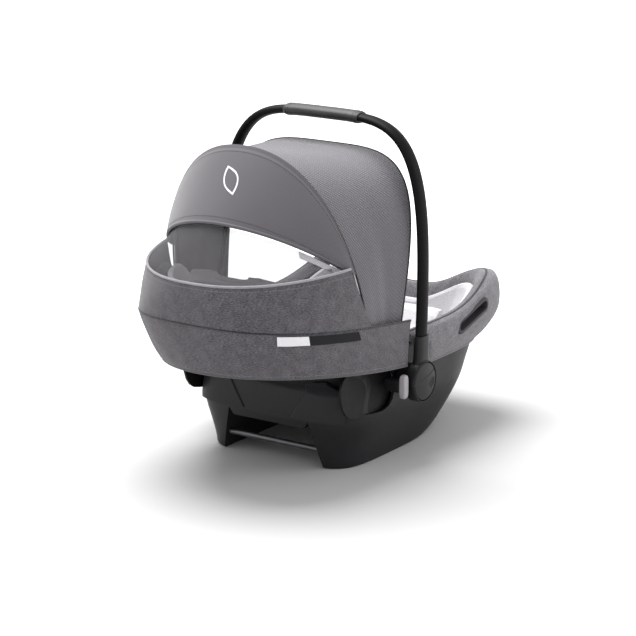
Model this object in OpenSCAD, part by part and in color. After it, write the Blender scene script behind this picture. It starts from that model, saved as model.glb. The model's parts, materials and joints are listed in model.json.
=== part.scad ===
// Infant car seat: moulded carrier shell with swinging carry handle,
// folding canopy, padded cover and harness.
// +X is the seat's left-right axis, +Y points to the foot end, +Z is up.
// The origin is the middle of the footprint, on the floor.

/* [Shell] */
// Width of the shell at its rim
shell_w = 372; // [340:1:420]
// How far each side is drawn in at mid height
waist_in = 16; // [10:1:30]
// How far each side is drawn in again where the base meets the floor
base_in = 25; // [10:1:40]
// Distance from the handle axis to the head end of the shell
head_reach = 336; // [300:1:370]
// Distance from the handle axis to the foot end of the shell
foot_reach = 320; // [290:1:340]
// Distance from the handle axis to the upright rear wall
rear_y = 145; // [120:1:170]
// Distance from the handle axis to where the rocker leaves the floor
foot_flat = 80; // [50:1:110]
// Height of the rim beside the handle
rim_hub_z = 200; // [190:1:215]
// Height of the rim at the head end
rim_head_z = 335; // [300:1:360]
// Height of the rim at the foot end
rim_foot_z = 240; // [220:1:255]
// Depth of the dip in the rim at the foot end
rim_dip = 45; // [20:1:50]
// Wall thickness of the shell
wall = 4; // [3:0.5:5]
// Height of the floor of the seat tub
floor_z = 90; // [84:1:100]
// Width of the tunnel between the rockers at its roof
tunnel_w = 160; // [130:1:180]
// Height of the tunnel between the rockers
tunnel_h = 80; // [60:1:82]
// Diameter of the steel latch bars
bar_d = 10; // [8:0.5:12]
// Height of the latch bars above the floor
bar_z = 30; // [20:1:45]

/* [Handle] */
// Height of the handle axis above the floor
hub_z = 138; // [130:1:150]
// Distance out from the shell's rim to the middle of the handle tube
handle_out = 18.5; // [17:0.5:40]
// Height of the handle tube above the top of the canopy
handle_rise = 50; // [40:1:160]
// Width of the handle tube, front to back
tube_w = 28; // [20:1:34]
// Thickness of the handle tube
tube_t = 15; // [10:0.5:15]
// Length of the hand grip
grip_l = 148; // [100:1:180]
// Radius of the handle hub
hub_r = 35; // [30:1:38]
// Radius of the handle pivot pin
pin_r = 9; // [6:0.5:12]
// Travel of the handle release button
button_travel = 3; // [2:0.5:4]
// Travel of the adapter release lever
lever_travel = 6; // [3:0.5:8]

/* [Canopy] */
// Height of the top of the canopy's front bow
canopy_top = 511; // [480:1:515]
// Height of the visor's seam above the top of the front bow
visor_rise = 25; // [15:1:30]
// Distance from the head end of the shell out to the canopy band
band_out = 19; // [12:1:40]
// Thickness of the fabric panels
cloth_t = 3; // [2:0.5:4]
// Radius of the canopy pivot pins
canopy_pin_r = 4; // [3:0.5:5]
// Radius of the piping
piping_r = 2.4; // [1.5:0.1:3]

/* [Seat] */
// Distance from the foot end of the shell out to the padded cover
foot_pad = 32; // [24:1:45]
// Thickness of the inner liner
liner_t = 8; // [5:1:12]
// Width of the seat pad
pad_w = 240; // [200:1:260]
// Thickness of the seat pad
pad_t = 20; // [12:1:26]
// Width of the harness webbing
strap_w = 25; // [20:1:30]
// Thickness of the harness webbing
strap_t = 1.6; // [1.2:0.1:2]

/* [Fits] */
// Running clearance of the pins in their bores, on radius
fit = 0.06; // [0.03:0.01:0.1]
// Gap between parts that slide or turn past each other
gap = 0.4; // [0.3:0.1:0.8]
// Gap between soft parts and their neighbours
soft_gap = 1; // [0.5:0.1:2]

/* [Hidden] */
waist_w = shell_w - 2 * waist_in;
base_w = waist_w - 2 * base_in;
handle_w = shell_w + 2 * handle_out;
handle_top = canopy_top + handle_rise;
visor_top = canopy_top + visor_rise;
band_reach = head_reach + band_out;
cover_reach = foot_reach + foot_pad;
// the handle axis sits this far ahead of the middle of the footprint
hub_y = (band_reach - cover_reach) / 2;
handle_lean = 0.05;
handle_n = 4.15;
tunnel_flare = 22;
canopy_y = -38;
canopy_z = rim_hub_z + 19;

// ---- number helpers
function mix(a, b, t) = a + (b - a) * t;
function clamp01(t) = max(0, min(1, t));
function smooth(t) = let (u = clamp01(t)) u * u * (3 - 2 * u);
function spow(v, p) = sign(v) * pow(abs(v), p);
function total(v) = [for (e = v) 1] * v;
function unit(v) = v / norm(v);

// ---- shell outline at height z, pulled in by off
function half_w(z) = mix(base_w / 2, waist_w / 2, smooth(z / 110))
  + (shell_w - waist_w) / 2 * smooth((z - 150) / 50);
function foot_y(z) = foot_flat
  + (foot_reach - foot_flat) * pow(max(z, 0) / rim_foot_z, 0.24);
function head_y(z) = mix(rear_y - 10, rear_y, clamp01(z / tunnel_h))
  + (head_reach - rear_y) * smooth((z - 130) / 90);
function head_n(z) = mix(4.6, 2.42, smooth((z - 60) / 150));
function foot_n(z) = mix(4.6, 5.5, smooth((z - 100) / 60));
function outline(a, z, off) =
  let (k = z - 0.7 * off, s = sin(a), e = 2 / (s > 0 ? foot_n(k) : head_n(k)))
  [(half_w(k) - off) * spow(cos(a), e),
   (s > 0 ? foot_y(k) - off : head_y(k) - off) * spow(s, e), z];
// the foot end dips between the two wings
function foot_dip(a) = rim_dip * (1 - smooth((pow(abs(cos(a)), 2 / 5.5) - 0.1) / 0.75));
function rim_z(a) = sin(a) > 0
  ? mix(rim_hub_z, rim_foot_z, smooth(sin(a) * 1.3)) - foot_dip(a)
  : mix(rim_hub_z, rim_head_z, smooth(-sin(a) * 1.6));

// ---- arches: [foot y, foot z, top y, top z, half width, exponent]
// height at share s of the canopy's rise
function up(s) = mix(canopy_z, canopy_top, s);
front_arch = [canopy_y, canopy_z, 28, canopy_top, shell_w / 2 + 3, 4.1];
seam_arch = [-130, canopy_z + 17, -200, visor_top, shell_w / 2 + 4, 2.25];
visor_arch = [-127, up(0.346), -band_reach + 80, up(0.716), shell_w / 2 + 2, 1.92];
top_arch = [-62, up(0.503), -band_reach + 4, up(0.435), shell_w / 2 + 8, 2.3];
mid_arch = [-16, canopy_z + 24, -band_reach + 1, canopy_z + 61, shell_w / 2 + 13, 2.84];
hem_arch = [-16, canopy_z - 53, -band_reach + 21, canopy_z - 22, shell_w / 2 + 9, 2.08];

function arch_pt(f, a) = let (s = pow(abs(sin(a)), 2 / f[5]))
  [f[4] * spow(cos(a), 2 / f[5]), mix(f[0], f[2], s), mix(f[1], f[3], s)];
// an arch made smaller by t on every side
function inset(f, t) = let (d = unit([f[2] - f[0], f[3] - f[1]]))
  [f[0], f[1], f[2] - t * d[0], f[3] - t * d[1], f[4] - t, f[5]];
function raise(f, dz) = f + [0, dz, 0, dz, 0, 0];
function arch_row(f, a0, m) = [for (i = [0:m]) arch_pt(f, mix(a0, 180 - a0, i / m))];
// the arch angle where an arch has risen by share s
function arch_from(f, s) = asin(pow(s, f[5] / 2));
// a panel between two arches, with its own start angle on each
function panel_rows(f, g, fa, ga, m, k) = [for (j = [0:k]) let (t = j / k)
  arch_row(f * (1 - t) + g * t, mix(fa, ga, t), m)];

// ---- solids from point grids
function volume(p, f) =
  total([for (t = f) p[t[0]] * cross(p[t[1]], p[t[2]])]);
function flipped(f) = [for (t = f) [for (i = [len(t) - 1:-1:0]) t[i]]];
function quad_faces(r, c, n, o) = [[o + r * n + c, o + r * n + c + 1, o + (r + 1) * n + c + 1],
  [o + r * n + c, o + (r + 1) * n + c + 1, o + (r + 1) * n + c]];

module closed_solid(p, f) {
  polyhedron(p, volume(p, f) < 0 ? f : flipped(f), convexity = 8);
}

// a sheet with an outer grid of points and an inner grid
module skin(outer, inner) {
  n = len(outer[0]);
  r = len(outer);
  h = n * r;
  p = concat([for (row = outer) each row], [for (row = inner) each row]);
  sheet = [for (j = [0:r - 2], i = [0:n - 2]) each quad_faces(j, i, n, 0)];
  back = flipped([for (j = [0:r - 2], i = [0:n - 2]) each quad_faces(j, i, n, h)]);
  ends = [for (i = [0:n - 2]) each
    [[i + 1, i, h + i], [i + 1, h + i, h + i + 1],
     [h - n + i, h - n + i + 1, 2 * h - n + i + 1],
     [h - n + i, 2 * h - n + i + 1, 2 * h - n + i]]];
  sides = [for (j = [0:r - 2]) each
    [[j * n, (j + 1) * n, h + (j + 1) * n], [j * n, h + (j + 1) * n, h + j * n],
     [(j + 2) * n - 1, (j + 1) * n - 1, h + (j + 1) * n - 1],
     [(j + 2) * n - 1, h + (j + 1) * n - 1, h + (j + 2) * n - 1]]];
  closed_solid(p, concat(sheet, back, ends, sides));
}

// closed rings joined in order, with flat ends
module loft(rings) {
  n = len(rings[0]);
  r = len(rings);
  p = [for (row = rings) each row];
  bands = [for (j = [0:r - 2], i = [0:n - 1]) let (k = (i + 1) % n) each
    [[j * n + i, j * n + k, (j + 1) * n + k], [j * n + i, (j + 1) * n + k, (j + 1) * n + i]]];
  first = [for (i = [1:n - 2]) [0, i + 1, i]];
  last = [for (i = [1:n - 2]) [(r - 1) * n, (r - 1) * n + i, (r - 1) * n + i + 1]];
  closed_solid(p, concat(bands, first, last));
}

module seat() { translate([0, hub_y, 0]) children(); }
module both() { children(); mirror([1, 0, 0]) children(); }
module side(s) { if (s > 0) children(); else mirror([1, 0, 0]) children(); }

// ---- shell
sides = 56;
function shell_ring(z, off) = [for (i = [0:sides - 1]) outline(360 * i / sides, z, off)];
function rim_ring(t, z0, off, drop) = [for (i = [0:sides - 1]) let (a = 360 * i / sides)
  outline(a, mix(z0, rim_z(a) - drop, t), off)];

// a tub with a wall between two offsets and two floor heights
module cup(z0, off0, z1, off1, drop, steps) {
  loft(concat([for (j = [0:steps]) rim_ring(j / steps, z0, off0, drop)],
    [for (j = [steps:-1:0]) rim_ring(j / steps, z1, off1, drop)]));
}

module socket_outline(grow) {
  // recess in the shell side for the pushchair adapter
  polygon([[-165 - grow, 178 + grow], [-150 - grow, 108 - grow], [-95, 96 - grow],
    [-22 + grow, 92 - grow], [-22 + grow, 178 + grow]]);
}

recess_d = 10;
module along_x(x0, x1) {
  translate([x0, 0, 0]) rotate([90, 0, 90]) linear_extrude(x1 - x0) children();
}

module tunnel_outline(grow) {
  polygon([[-tunnel_w / 2 - tunnel_flare - grow, -1], [-tunnel_w / 2 - grow, tunnel_h + grow],
    [tunnel_w / 2 + grow, tunnel_h + grow], [tunnel_w / 2 + tunnel_flare + grow, -1]]);
}

module shell() {
  color("#2b2b2e") seat() difference() {
    union() {
      cup(0, 0, floor_z, wall, 0, 20);
      // thicker walls behind the adapter recesses
      intersection() {
        both() along_x(waist_w / 2 - recess_d - wall, shell_w / 2) socket_outline(wall);
        loft([for (z = [floor_z - 2:8:180]) shell_ring(z, 0.5)]);
      }
    }
    // adapter recesses
    both() along_x(waist_w / 2 - recess_d, shell_w / 2 + 20) socket_outline(0);
    // tunnel between the rockers
    rotate([90, 0, 0]) translate([0, 0, -400]) linear_extrude(800) tunnel_outline(0);
    // hollow rockers, open underneath
    difference() {
      loft([for (z = [-1, 0, 8, 20, 40, 60, tunnel_h - 4]) shell_ring(z, wall)]);
      rotate([90, 0, 0]) translate([0, 0, -400]) linear_extrude(800) tunnel_outline(wall);
    }
    // openings behind the belt guides
    both() slot_place() along_x(100, 260) oblong(guide_r + gap);
    // seats of the latch bars
    for (y = [rear_bar_y, front_bar_y]) translate([-bar_l / 2, y, bar_z])
      rotate([0, 90, 0]) cylinder(h = bar_l, d = bar_d, $fn = 48);
  }
}

bar_l = tunnel_w + 2 * tunnel_flare + 2 * wall;
rear_bar_y = -rear_y + 22;
front_bar_y = 80;

module latch_bar(y) {
  color("#8a8c90") seat() translate([-bar_l / 2, y, bar_z]) rotate([0, 90, 0])
    cylinder(h = bar_l, d = bar_d, $fn = 48);
}
module rear_bar() { latch_bar(rear_bar_y); }
module front_bar() { latch_bar(front_bar_y); }

// raised fins at the rear corners, which keep the vehicle belt in place
fin_t = 6;
module belt_fin(s) {
  color("#2b2b2e") seat() side(s) intersection() {
    skin([for (z = [fin_z0, 110, 135, fin_z1]) fin_row(z, -fin_t)],
      [for (z = [fin_z0, 110, 135, fin_z1]) fin_row(z, -soft_gap)]);
    rotate([90, 0, 0]) linear_extrude(300)
      polygon([[46, 80], [94, 158], [108, 172], [200, 172], [200, 80]]);
  }
}
fin_z0 = 84;
fin_z1 = 160;
function fin_row(z, off) = [for (i = [0:10]) outline(mix(-82, -48, i / 10), z, off)];
module belt_fin_r() { belt_fin(1); }
module belt_fin_l() { belt_fin(-1); }

// ---- handle pivots
boss_x = half_w(hub_z + hub_r - 9) + 1.4;
boss_end = handle_w / 2 - tube_t / 2 - 1;
hub_x1 = boss_end + gap;
hub_x2 = hub_x1 + 20;
recess_x = hub_x2 - 6;
button_x = recess_x + button_travel + 0.2;
module hub_boss(s) {
  color("#2b2b2e") seat() side(s) translate([0, 0, hub_z]) rotate([0, 90, 0]) {
    translate([0, 0, boss_x]) cylinder(h = boss_end - boss_x, r = hub_r - 9, $fn = 72);
    translate([0, 0, waist_w / 2 + gap]) cylinder(h = recess_x - 1 - waist_w / 2 - gap, r = pin_r, $fn = 64);
  }
}
module hub_boss_r() { hub_boss(1); }
module hub_boss_l() { hub_boss(-1); }

sleeve_top = 76;
module handle_end(s) {
  color("#242426") seat() side(s) translate([0, 0, hub_z]) difference() {
    union() {
      rotate([0, 90, 0]) translate([0, 0, hub_x1]) cylinder(h = hub_x2 - hub_x1, r = hub_r, $fn = 96);
      multmatrix([[1, 0, 0, 0], [0, 1, handle_lean, 0], [0, 0, 1, 0]])
        translate([hub_x1, -tube_w / 2 - 2, 0]) cube([tube_t + 3, tube_w + 4, sleeve_top]);
    }
    rotate([0, 90, 0]) translate([0, 0, hub_x1 - 1]) cylinder(h = 40, r = pin_r + fit, $fn = 64);
    rotate([0, 90, 0]) translate([0, 0, recess_x]) cylinder(h = 10, r = hub_r - 2, $fn = 96);
  }
}
module handle_end_r() { handle_end(1); }
module handle_end_l() { handle_end(-1); }

module handle_button(s) {
  color("#2c2c2f") seat() side(s) translate([0, 0, hub_z]) difference() {
    rotate([0, 90, 0]) translate([0, 0, button_x])
      cylinder(h = hub_x2 + 4 - button_x, r = hub_r - 2 - gap, $fn = 96);
    // crease across the upper third
    rotate([24, 0, 0]) translate([hub_x2 + 2.6, -40, 9]) cube([4, 80, 1.2]);
    // ribbed finger scoop
    for (i = [-3:3]) rotate([-38, 0, 0])
      translate([hub_x2 + 2.8, -1.2 + i * 3.4, -28]) cube([4, 1.6, 16 - abs(i) * 2]);
  }
}
module handle_button_r() { handle_button(1); }
module handle_button_l() { handle_button(-1); }

// ---- handle tube, a superellipse arch
handle_c = 146;
handle_b = handle_top - handle_c;
plane_n = unit([0, 1, -handle_lean]);
function bow_pt(a) = let (z = handle_c + handle_b * pow(abs(sin(a)), 2 / handle_n))
  [handle_w / 2 * spow(cos(a), 2 / handle_n), handle_lean * (z - hub_z), z];
function bow_ring(a, w, t, m) =
  let (p = bow_pt(a), d = unit(bow_pt(a + 0.4) - bow_pt(a - 0.4)), q = cross(d, plane_n))
  [for (i = [0:m - 1]) p + plane_n * w / 2 * cos(360 * i / m) + q * t / 2 * sin(360 * i / m)];
bow_a0 = asin(pow((hub_z + sleeve_top + 1 - handle_c) / handle_b, handle_n / 2));
grip_a0 = acos(pow(grip_l / handle_w, handle_n / 2));

module handle_bow() {
  color("#1f1f21") seat()
    loft([for (i = [0:44]) bow_ring(mix(bow_a0, 180 - bow_a0, i / 44), tube_w, tube_t, 16)]);
}

module handle_grip() {
  color("#1a1a1b") seat() difference() {
    loft([for (i = [0:12]) bow_ring(mix(grip_a0, 180 - grip_a0, i / 12), tube_w + 6, tube_t + 5, 16)]);
    loft([for (i = [0:12]) bow_ring(mix(grip_a0 - 1, 181 - grip_a0, i / 12), tube_w + 1, tube_t + 1, 16)]);
  }
}

// ---- adapter release levers
lever_x = waist_w / 2 - 4;
pad_x = lever_x + 32;
module adapter_lever(s) {
  color("#c9cacc") seat() side(s) translate([0, -hub_r - 19, hub_z - 20]) along_x(pad_x, pad_x + 12)
    hull() for (z = [7, 33]) translate([7, z]) circle(r = 7, $fn = 32);
  // stem that carries the pad
  color("#c9cacc") seat() side(s) translate([lever_x, -hub_r - 16, hub_z - 8])
    cube([pad_x - lever_x + 1, 8, 16]);
}
module adapter_lever_r() { adapter_lever(1); }
module adapter_lever_l() { adapter_lever(-1); }

// ---- canopy pivots and arms
arm_x = shell_w / 2 - 7;
mount_x = arm_x - gap - 7.2;
module canopy_mount(s) {
  color("#2b2b2e") seat() side(s) translate([0, canopy_y, canopy_z]) {
    translate([mount_x, -9, -28]) cube([5, 18, 28]);
    rotate([0, 90, 0]) translate([0, 0, mount_x]) cylinder(h = 5, r = 9, $fn = 64);
    rotate([0, 90, 0]) translate([0, 0, mount_x])
      cylinder(h = arm_x + 5 - mount_x, r = canopy_pin_r, $fn = 48);
  }
}
module canopy_mount_r() { canopy_mount(1); }
module canopy_mount_l() { canopy_mount(-1); }

bow_dir = atan2(front_arch[2] - canopy_y, canopy_top - canopy_z);
arm_len = 40;
module canopy_arm(s) {
  color("#2b2b2e") seat() side(s) translate([0, canopy_y, canopy_z]) rotate([-bow_dir, 0, 0])
    difference() {
      union() {
        rotate([0, 90, 0]) translate([0, 0, arm_x]) cylinder(h = 5, r = 10, $fn = 64);
        translate([arm_x, -5, 0]) cube([5, 10, arm_len]);
      }
      rotate([0, 90, 0]) translate([0, 0, arm_x - 20]) cylinder(h = 40, r = canopy_pin_r + fit, $fn = 48);
    }
}
module canopy_arm_r() { canopy_arm(1); }
module canopy_arm_l() { canopy_arm(-1); }

bow_in = 7;
function stay_ring(f, a, r) =
  let (p = arch_pt(f, a), d = unit(arch_pt(f, a + 0.5) - arch_pt(f, a - 0.5)),
    b = unit(cross(d, [0, 1, 0.01])), c = cross(d, b))
  [for (i = [0:7]) p + r * (b * cos(45 * i) + c * sin(45 * i))];
module stay(f, share, r, m) {
  a0 = arch_from(f, share);
  seat() loft([for (i = [0:m]) stay_ring(f, mix(a0, 180 - a0, i / m), r)]);
}
module canopy_bow() {
  color("#1f1f21") stay(inset(front_arch, bow_in), 0.14, 2.5, 36);
}
module canopy_rear_bow() {
  color("#1f1f21") stay(inset(seam_arch, bow_in), 0.1, 2.5, 32);
}

// ---- canopy fabric
module arch_skin(f, g, fs, gs, m, k, t) {
  seat() skin(panel_rows(f, g, arch_from(f, fs), arch_from(g, gs), m, k),
    panel_rows(inset(f, t), inset(g, t), arch_from(f, fs), arch_from(g, gs), m, k));
}
module canopy_front() {
  color("#7d7d82") arch_skin(front_arch, seam_arch, 0.12, 0.05, 36, 6, cloth_t);
}
module canopy_rear() {
  color("#77777c") arch_skin(inset(seam_arch, 1) + [-3, 0, -3, 0, 0, 0], inset(visor_arch, 11),
    0.4, 0.3, 32, 4, cloth_t);
}
module visor() {
  color("#6c6c71") arch_skin(inset(seam_arch, -4) + [-4, 2, -4, 2, 0, 0], visor_arch,
    0.44, 0.4, 32, 5, cloth_t);
}
module visor_edge() {
  color("#55555a") stay(inset(visor_arch, 1.5) + [-1, -3.5, -1, -3.5, 0, 0], 0.42, 2.2, 32);
}
module mesh_window() {
  color("#b9bac0") arch_skin(inset(visor_arch, 14) + [-1, -8.5, -1, -8.5, 0, 0],
    inset(top_arch, 5) + [0, 6, 0, 6, 0, 0], 0.56, 0.5, 32, 4, 2.4);
}
module band_upper() {
  color("#5b5b60") arch_skin(raise(top_arch, -piping_r - 0.6), raise(mid_arch, piping_r + 0.6),
    0.385, 0.34, 40, 4, cloth_t);
}
module band_lower() {
  color("#606065") arch_skin(raise(mid_arch, -piping_r - 0.6), hem_arch, 0.02, 0.02, 44, 4, cloth_t);
}
module piping_top() {
  color("#9a9aa0") stay(inset(top_arch, 1.5), 0.385, piping_r, 36);
}
module piping_seam() {
  color("#2a2a2c") stay(inset(mid_arch, 1.5), 0.02, piping_r, 44);
}
// a small flap hanging from the edge of the visor
function tab_rows(off) = [for (t = [0, 1])
  [for (i = [0:6]) arch_pt(raise(inset(visor_arch, mix(-1.5, -9, t) - off), mix(-7, -15, t)),
    mix(32, 47, i / 6))]];
module canopy_tab() {
  color("#c5c6ca") seat() skin(tab_rows(0), tab_rows(-1.5));
}
// a patch on the lower band, off millimetres proud of it
function label_rows(a0, a1, off) = [for (t = [0.03, 0.2])
  [for (i = [0:6]) arch_pt(inset(mid_arch * (1 - t) + hem_arch * t, -off), mix(a0, a1, i / 6))]];
module label_white() {
  color("#e9e9ea") seat() skin(label_rows(40, 54, 2.2), label_rows(40, 54, 1.4));
}
module label_black() {
  color("#1b1b1d") seat() skin(label_rows(18, 39.7, 2.2), label_rows(18, 39.7, 1.4));
}

// ---- padded cover over the rim at the foot half
cover_steps = 56;
cover_gap = 2;
function cover_low(y) = mix(rim_hub_z - 4, 146, smooth((y - 45) / 45));
// share of the foot bulge at angle a
function bulge(a) = smooth((sin(a) - 0.25) / 0.6);
function cover_pt(a, off, z, push) = outline(a, z, off) + [0, push * bulge(a), 0];
function cover_out(a) = let (z0 = cover_low(outline(a, 200, 0)[1]), z1 = rim_z(a),
    b = cover_reach - 7.2 - foot_y(mix(cover_low(foot_reach), rim_z(90), 0.45) + 3.5))
  [cover_pt(a, -4, z0, 0), cover_pt(a, -5, mix(z0, z1, 0.12), b * 0.75),
   cover_pt(a, -5, mix(z0, z1, 0.45), b), cover_pt(a, -5, mix(z0, z1, 0.85), b * 0.8),
   cover_pt(a, -4, z1 + 12, b * 0.35), cover_pt(a, 6, z1 + 19, 0),
   cover_pt(a, 15, z1 + 12, 0), cover_pt(a, 16, z1 - 20, 0)];
function cover_in(a) = let (z0 = cover_low(outline(a, 200, 0)[1]), z1 = rim_z(a))
  [cover_pt(a, -cover_gap, z0, 0), cover_pt(a, -cover_gap, mix(z0, z1, 0.12), 0),
   cover_pt(a, -cover_gap, mix(z0, z1, 0.45), 0), cover_pt(a, -cover_gap, mix(z0, z1, 0.85), 0),
   cover_pt(a, -cover_gap, z1 + 1 + 6 * bulge(a), 0), cover_pt(a, 0, z1 + 3 + 6 * bulge(a), 0),
   cover_pt(a, wall + cover_gap, z1 + 1 + 6 * bulge(a), 0), cover_pt(a, wall + cover_gap + 1, z1 - 20, 0)];
module oblong(r) { hull() for (y = [-38, 38]) translate([y, 0]) circle(r = r, $fn = 32); }
module slot_place() { translate([0, foot_reach - 125, rim_hub_z + 3]) rotate([16, 0, 0]) children(); }
guide_r = 11;
module cover_slot() {
  // oblong opening for the vehicle belt in each wing
  slot_place() along_x(100, 260) oblong(guide_r + soft_gap);
}
module seat_cover() {
  color("#8b8b90") seat() difference() {
    skin([for (i = [0:cover_steps]) cover_out(mix(-0.4, 180.4, i / cover_steps))],
      [for (i = [0:cover_steps]) cover_in(mix(-0.4, 180.4, i / cover_steps))]);
    both() cover_slot();
  }
}
module belt_guide(s) {
  color("#232325") seat() side(s) slot_place()
    along_x(shell_w / 2 - 15, shell_w / 2 + 4) difference() {
    oblong(guide_r);
    oblong(guide_r - 3);
  }
}
module belt_guide_r() { belt_guide(1); }
module belt_guide_l() { belt_guide(-1); }

// ---- liner, a padded tub inside the shell
liner_in = wall + 14;
module seat_liner() {
  color("#d9dadd") seat() cup(liner_z, liner_in, liner_z + liner_t, liner_in + liner_t, 6, 14);
}
liner_z = floor_z + 10;

// ---- seat pad, a ribbon along the middle of its own thickness
pad_z = liner_z + liner_t + pad_t / 2 + 18;
pad_path = [[-272, pad_z + 182], [-12, pad_z + 24], [30, pad_z + 4], [70, pad_z],
  [130, pad_z + 4], [180, pad_z + 24], [212, pad_z + 70]];
function side_of(p, i, d) = let (a = p[max(i - 1, 0)], b = p[min(i + 1, len(p) - 1)], t = unit(b - a))
  p[i] + d * [-t[1], t[0]];
module ribbon(p, low, high) {
  polygon(concat([for (i = [0:len(p) - 1]) side_of(p, i, low)],
    [for (i = [len(p) - 1:-1:0]) side_of(p, i, high)]));
}
module seat_pad() {
  color("#e6e6e8") seat() intersection() {
    along_x(-pad_w / 2, pad_w / 2) ribbon(pad_path, -pad_t / 2, pad_t / 2);
    loft([for (z = [liner_z:14:rim_head_z + 60]) shell_ring(z, liner_in + liner_t + 3)]);
  }
}
back_a = atan2(pad_path[0][1] - pad_path[1][1], pad_path[1][0] - pad_path[0][0]);
// local frame on the backrest: -Y runs up to the head, +Z out of the pad
module on_back(d) {
  translate([0, pad_path[1][0], pad_path[1][1]]) rotate([-back_a, 0, 0])
    translate([0, -d, pad_t / 2 + soft_gap]) children();
}
module slab(w, l, h, r) {
  linear_extrude(h) offset(r = r, $fn = 32) square([w - 2 * r, l - 2 * r], center = true);
}
module head_pad() {
  color("#d2d3d6") seat() on_back(232) difference() {
    slab(200, 110, 26, 30);
    translate([0, 8, 8]) slab(120, 120, 40, 40);
  }
}

// ---- harness
strap_x = 34;
strap_l = 150;
module shoulder_strap(s) {
  color("#3a3a3d") seat() side(s) on_back(strap_l / 2 + 24)
    translate([strap_x - strap_w / 2, -strap_l / 2, 0]) cube([strap_w, strap_l, strap_t]);
}
module shoulder_strap_r() { shoulder_strap(1); }
module shoulder_strap_l() { shoulder_strap(-1); }
module shoulder_pad(s) {
  color("#3f3f43") seat() side(s) on_back(118) translate([strap_x, 0, strap_t + soft_gap])
    slab(strap_w + 22, 100, 7, 10);
}
module shoulder_pad_r() { shoulder_pad(1); }
module shoulder_pad_l() { shoulder_pad(-1); }
buckle_l = 58;
buckle_h = 20;
button_h = 6;
press = 3;
module buckle() {
  color("#2a2a2c") seat() on_back(-4) difference() {
    translate([0, 0, strap_t + soft_gap]) slab(66, buckle_l, buckle_h, 9);
    // well of the red button
    translate([0, 4, strap_t + soft_gap + buckle_h - button_h - press]) slab(30, 34, 40, 5);
  }
}
module buckle_button() {
  color("#c0392b") seat() on_back(-4) translate([0, 4, strap_t + soft_gap + buckle_h - button_h])
    slab(30 - 2 * gap, 34 - 2 * gap, button_h + 1, 4.5);
}
module crotch_strap() {
  color("#3a3a3d") seat() along_x(-strap_w / 2, strap_w / 2)
    ribbon([for (i = [2:4]) pad_path[i]], pad_t / 2 + soft_gap, pad_t / 2 + soft_gap + strap_t);
}
module crotch_pad() {
  color("#3f3f43") seat() translate([0, 84, pad_z + pad_t / 2 + 2 * soft_gap + strap_t + 2.5])
    slab(56, 56, 7, 12);
}
adjuster_y = 150;
module on_front() {
  translate([0, adjuster_y, pad_z + 12 + pad_t / 2 + soft_gap + 3]) rotate([24, 0, 0]) children();
}
module adjuster() {
  color("#2a2a2c") seat() on_front() difference() {
    slab(44, 34, 10, 6);
    translate([0, 0, 10 - 4 - press]) slab(26, 16, 20, 4);
  }
}
module adjuster_button() {
  color("#5a5a5e") seat() on_front() translate([0, 0, 10 - 4]) slab(26 - 2 * gap, 16 - 2 * gap, 5, 3.6);
}
module adjust_strap() {
  color("#3a3a3d") seat() along_x(-strap_w / 2, strap_w / 2)
    ribbon([mix(pad_path[5], pad_path[6], 0.1), pad_path[6]],
      pad_t / 2 + soft_gap, pad_t / 2 + soft_gap + strap_t);
}

shell();
rear_bar();
front_bar();
belt_fin_l();
belt_fin_r();
hub_boss_l();
hub_boss_r();
canopy_mount_l();
canopy_mount_r();
adapter_lever_l();
adapter_lever_r();
belt_guide_l();
belt_guide_r();
seat_cover();
seat_liner();
seat_pad();
head_pad();
shoulder_strap_l();
shoulder_strap_r();
shoulder_pad_l();
shoulder_pad_r();
crotch_strap();
crotch_pad();
buckle();
buckle_button();
adjuster();
adjuster_button();
adjust_strap();
handle_bow();
handle_grip();
handle_end_l();
handle_end_r();
handle_button_l();
handle_button_r();
canopy_bow();
canopy_arm_l();
canopy_arm_r();
canopy_front();
canopy_rear_bow();
canopy_rear();
visor();
visor_edge();
mesh_window();
band_upper();
band_lower();
piping_top();
piping_seam();
canopy_tab();
label_white();
label_black();
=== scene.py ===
import json
import math
import bmesh
import bpy
import numpy as np
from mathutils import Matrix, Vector


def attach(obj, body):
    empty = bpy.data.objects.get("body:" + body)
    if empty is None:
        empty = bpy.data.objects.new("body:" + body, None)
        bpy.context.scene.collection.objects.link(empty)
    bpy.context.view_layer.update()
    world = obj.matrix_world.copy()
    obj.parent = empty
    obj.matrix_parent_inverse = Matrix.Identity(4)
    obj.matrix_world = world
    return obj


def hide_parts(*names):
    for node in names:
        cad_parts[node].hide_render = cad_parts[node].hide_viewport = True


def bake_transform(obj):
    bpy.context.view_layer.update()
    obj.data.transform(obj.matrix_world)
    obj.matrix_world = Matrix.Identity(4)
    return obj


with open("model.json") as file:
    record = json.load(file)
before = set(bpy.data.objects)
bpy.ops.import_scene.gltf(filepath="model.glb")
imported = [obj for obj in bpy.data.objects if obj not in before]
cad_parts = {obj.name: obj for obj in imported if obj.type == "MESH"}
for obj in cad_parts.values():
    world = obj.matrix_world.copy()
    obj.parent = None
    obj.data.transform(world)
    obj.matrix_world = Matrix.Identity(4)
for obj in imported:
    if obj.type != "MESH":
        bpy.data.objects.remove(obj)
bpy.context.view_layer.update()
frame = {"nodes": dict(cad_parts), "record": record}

# Infant car seat. Lengths below are millimetres about the handle axis, as in the CAD source,
# and become metres when a mesh is made. +Y is the foot end and +Z is up.

mm = 0.001

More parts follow.
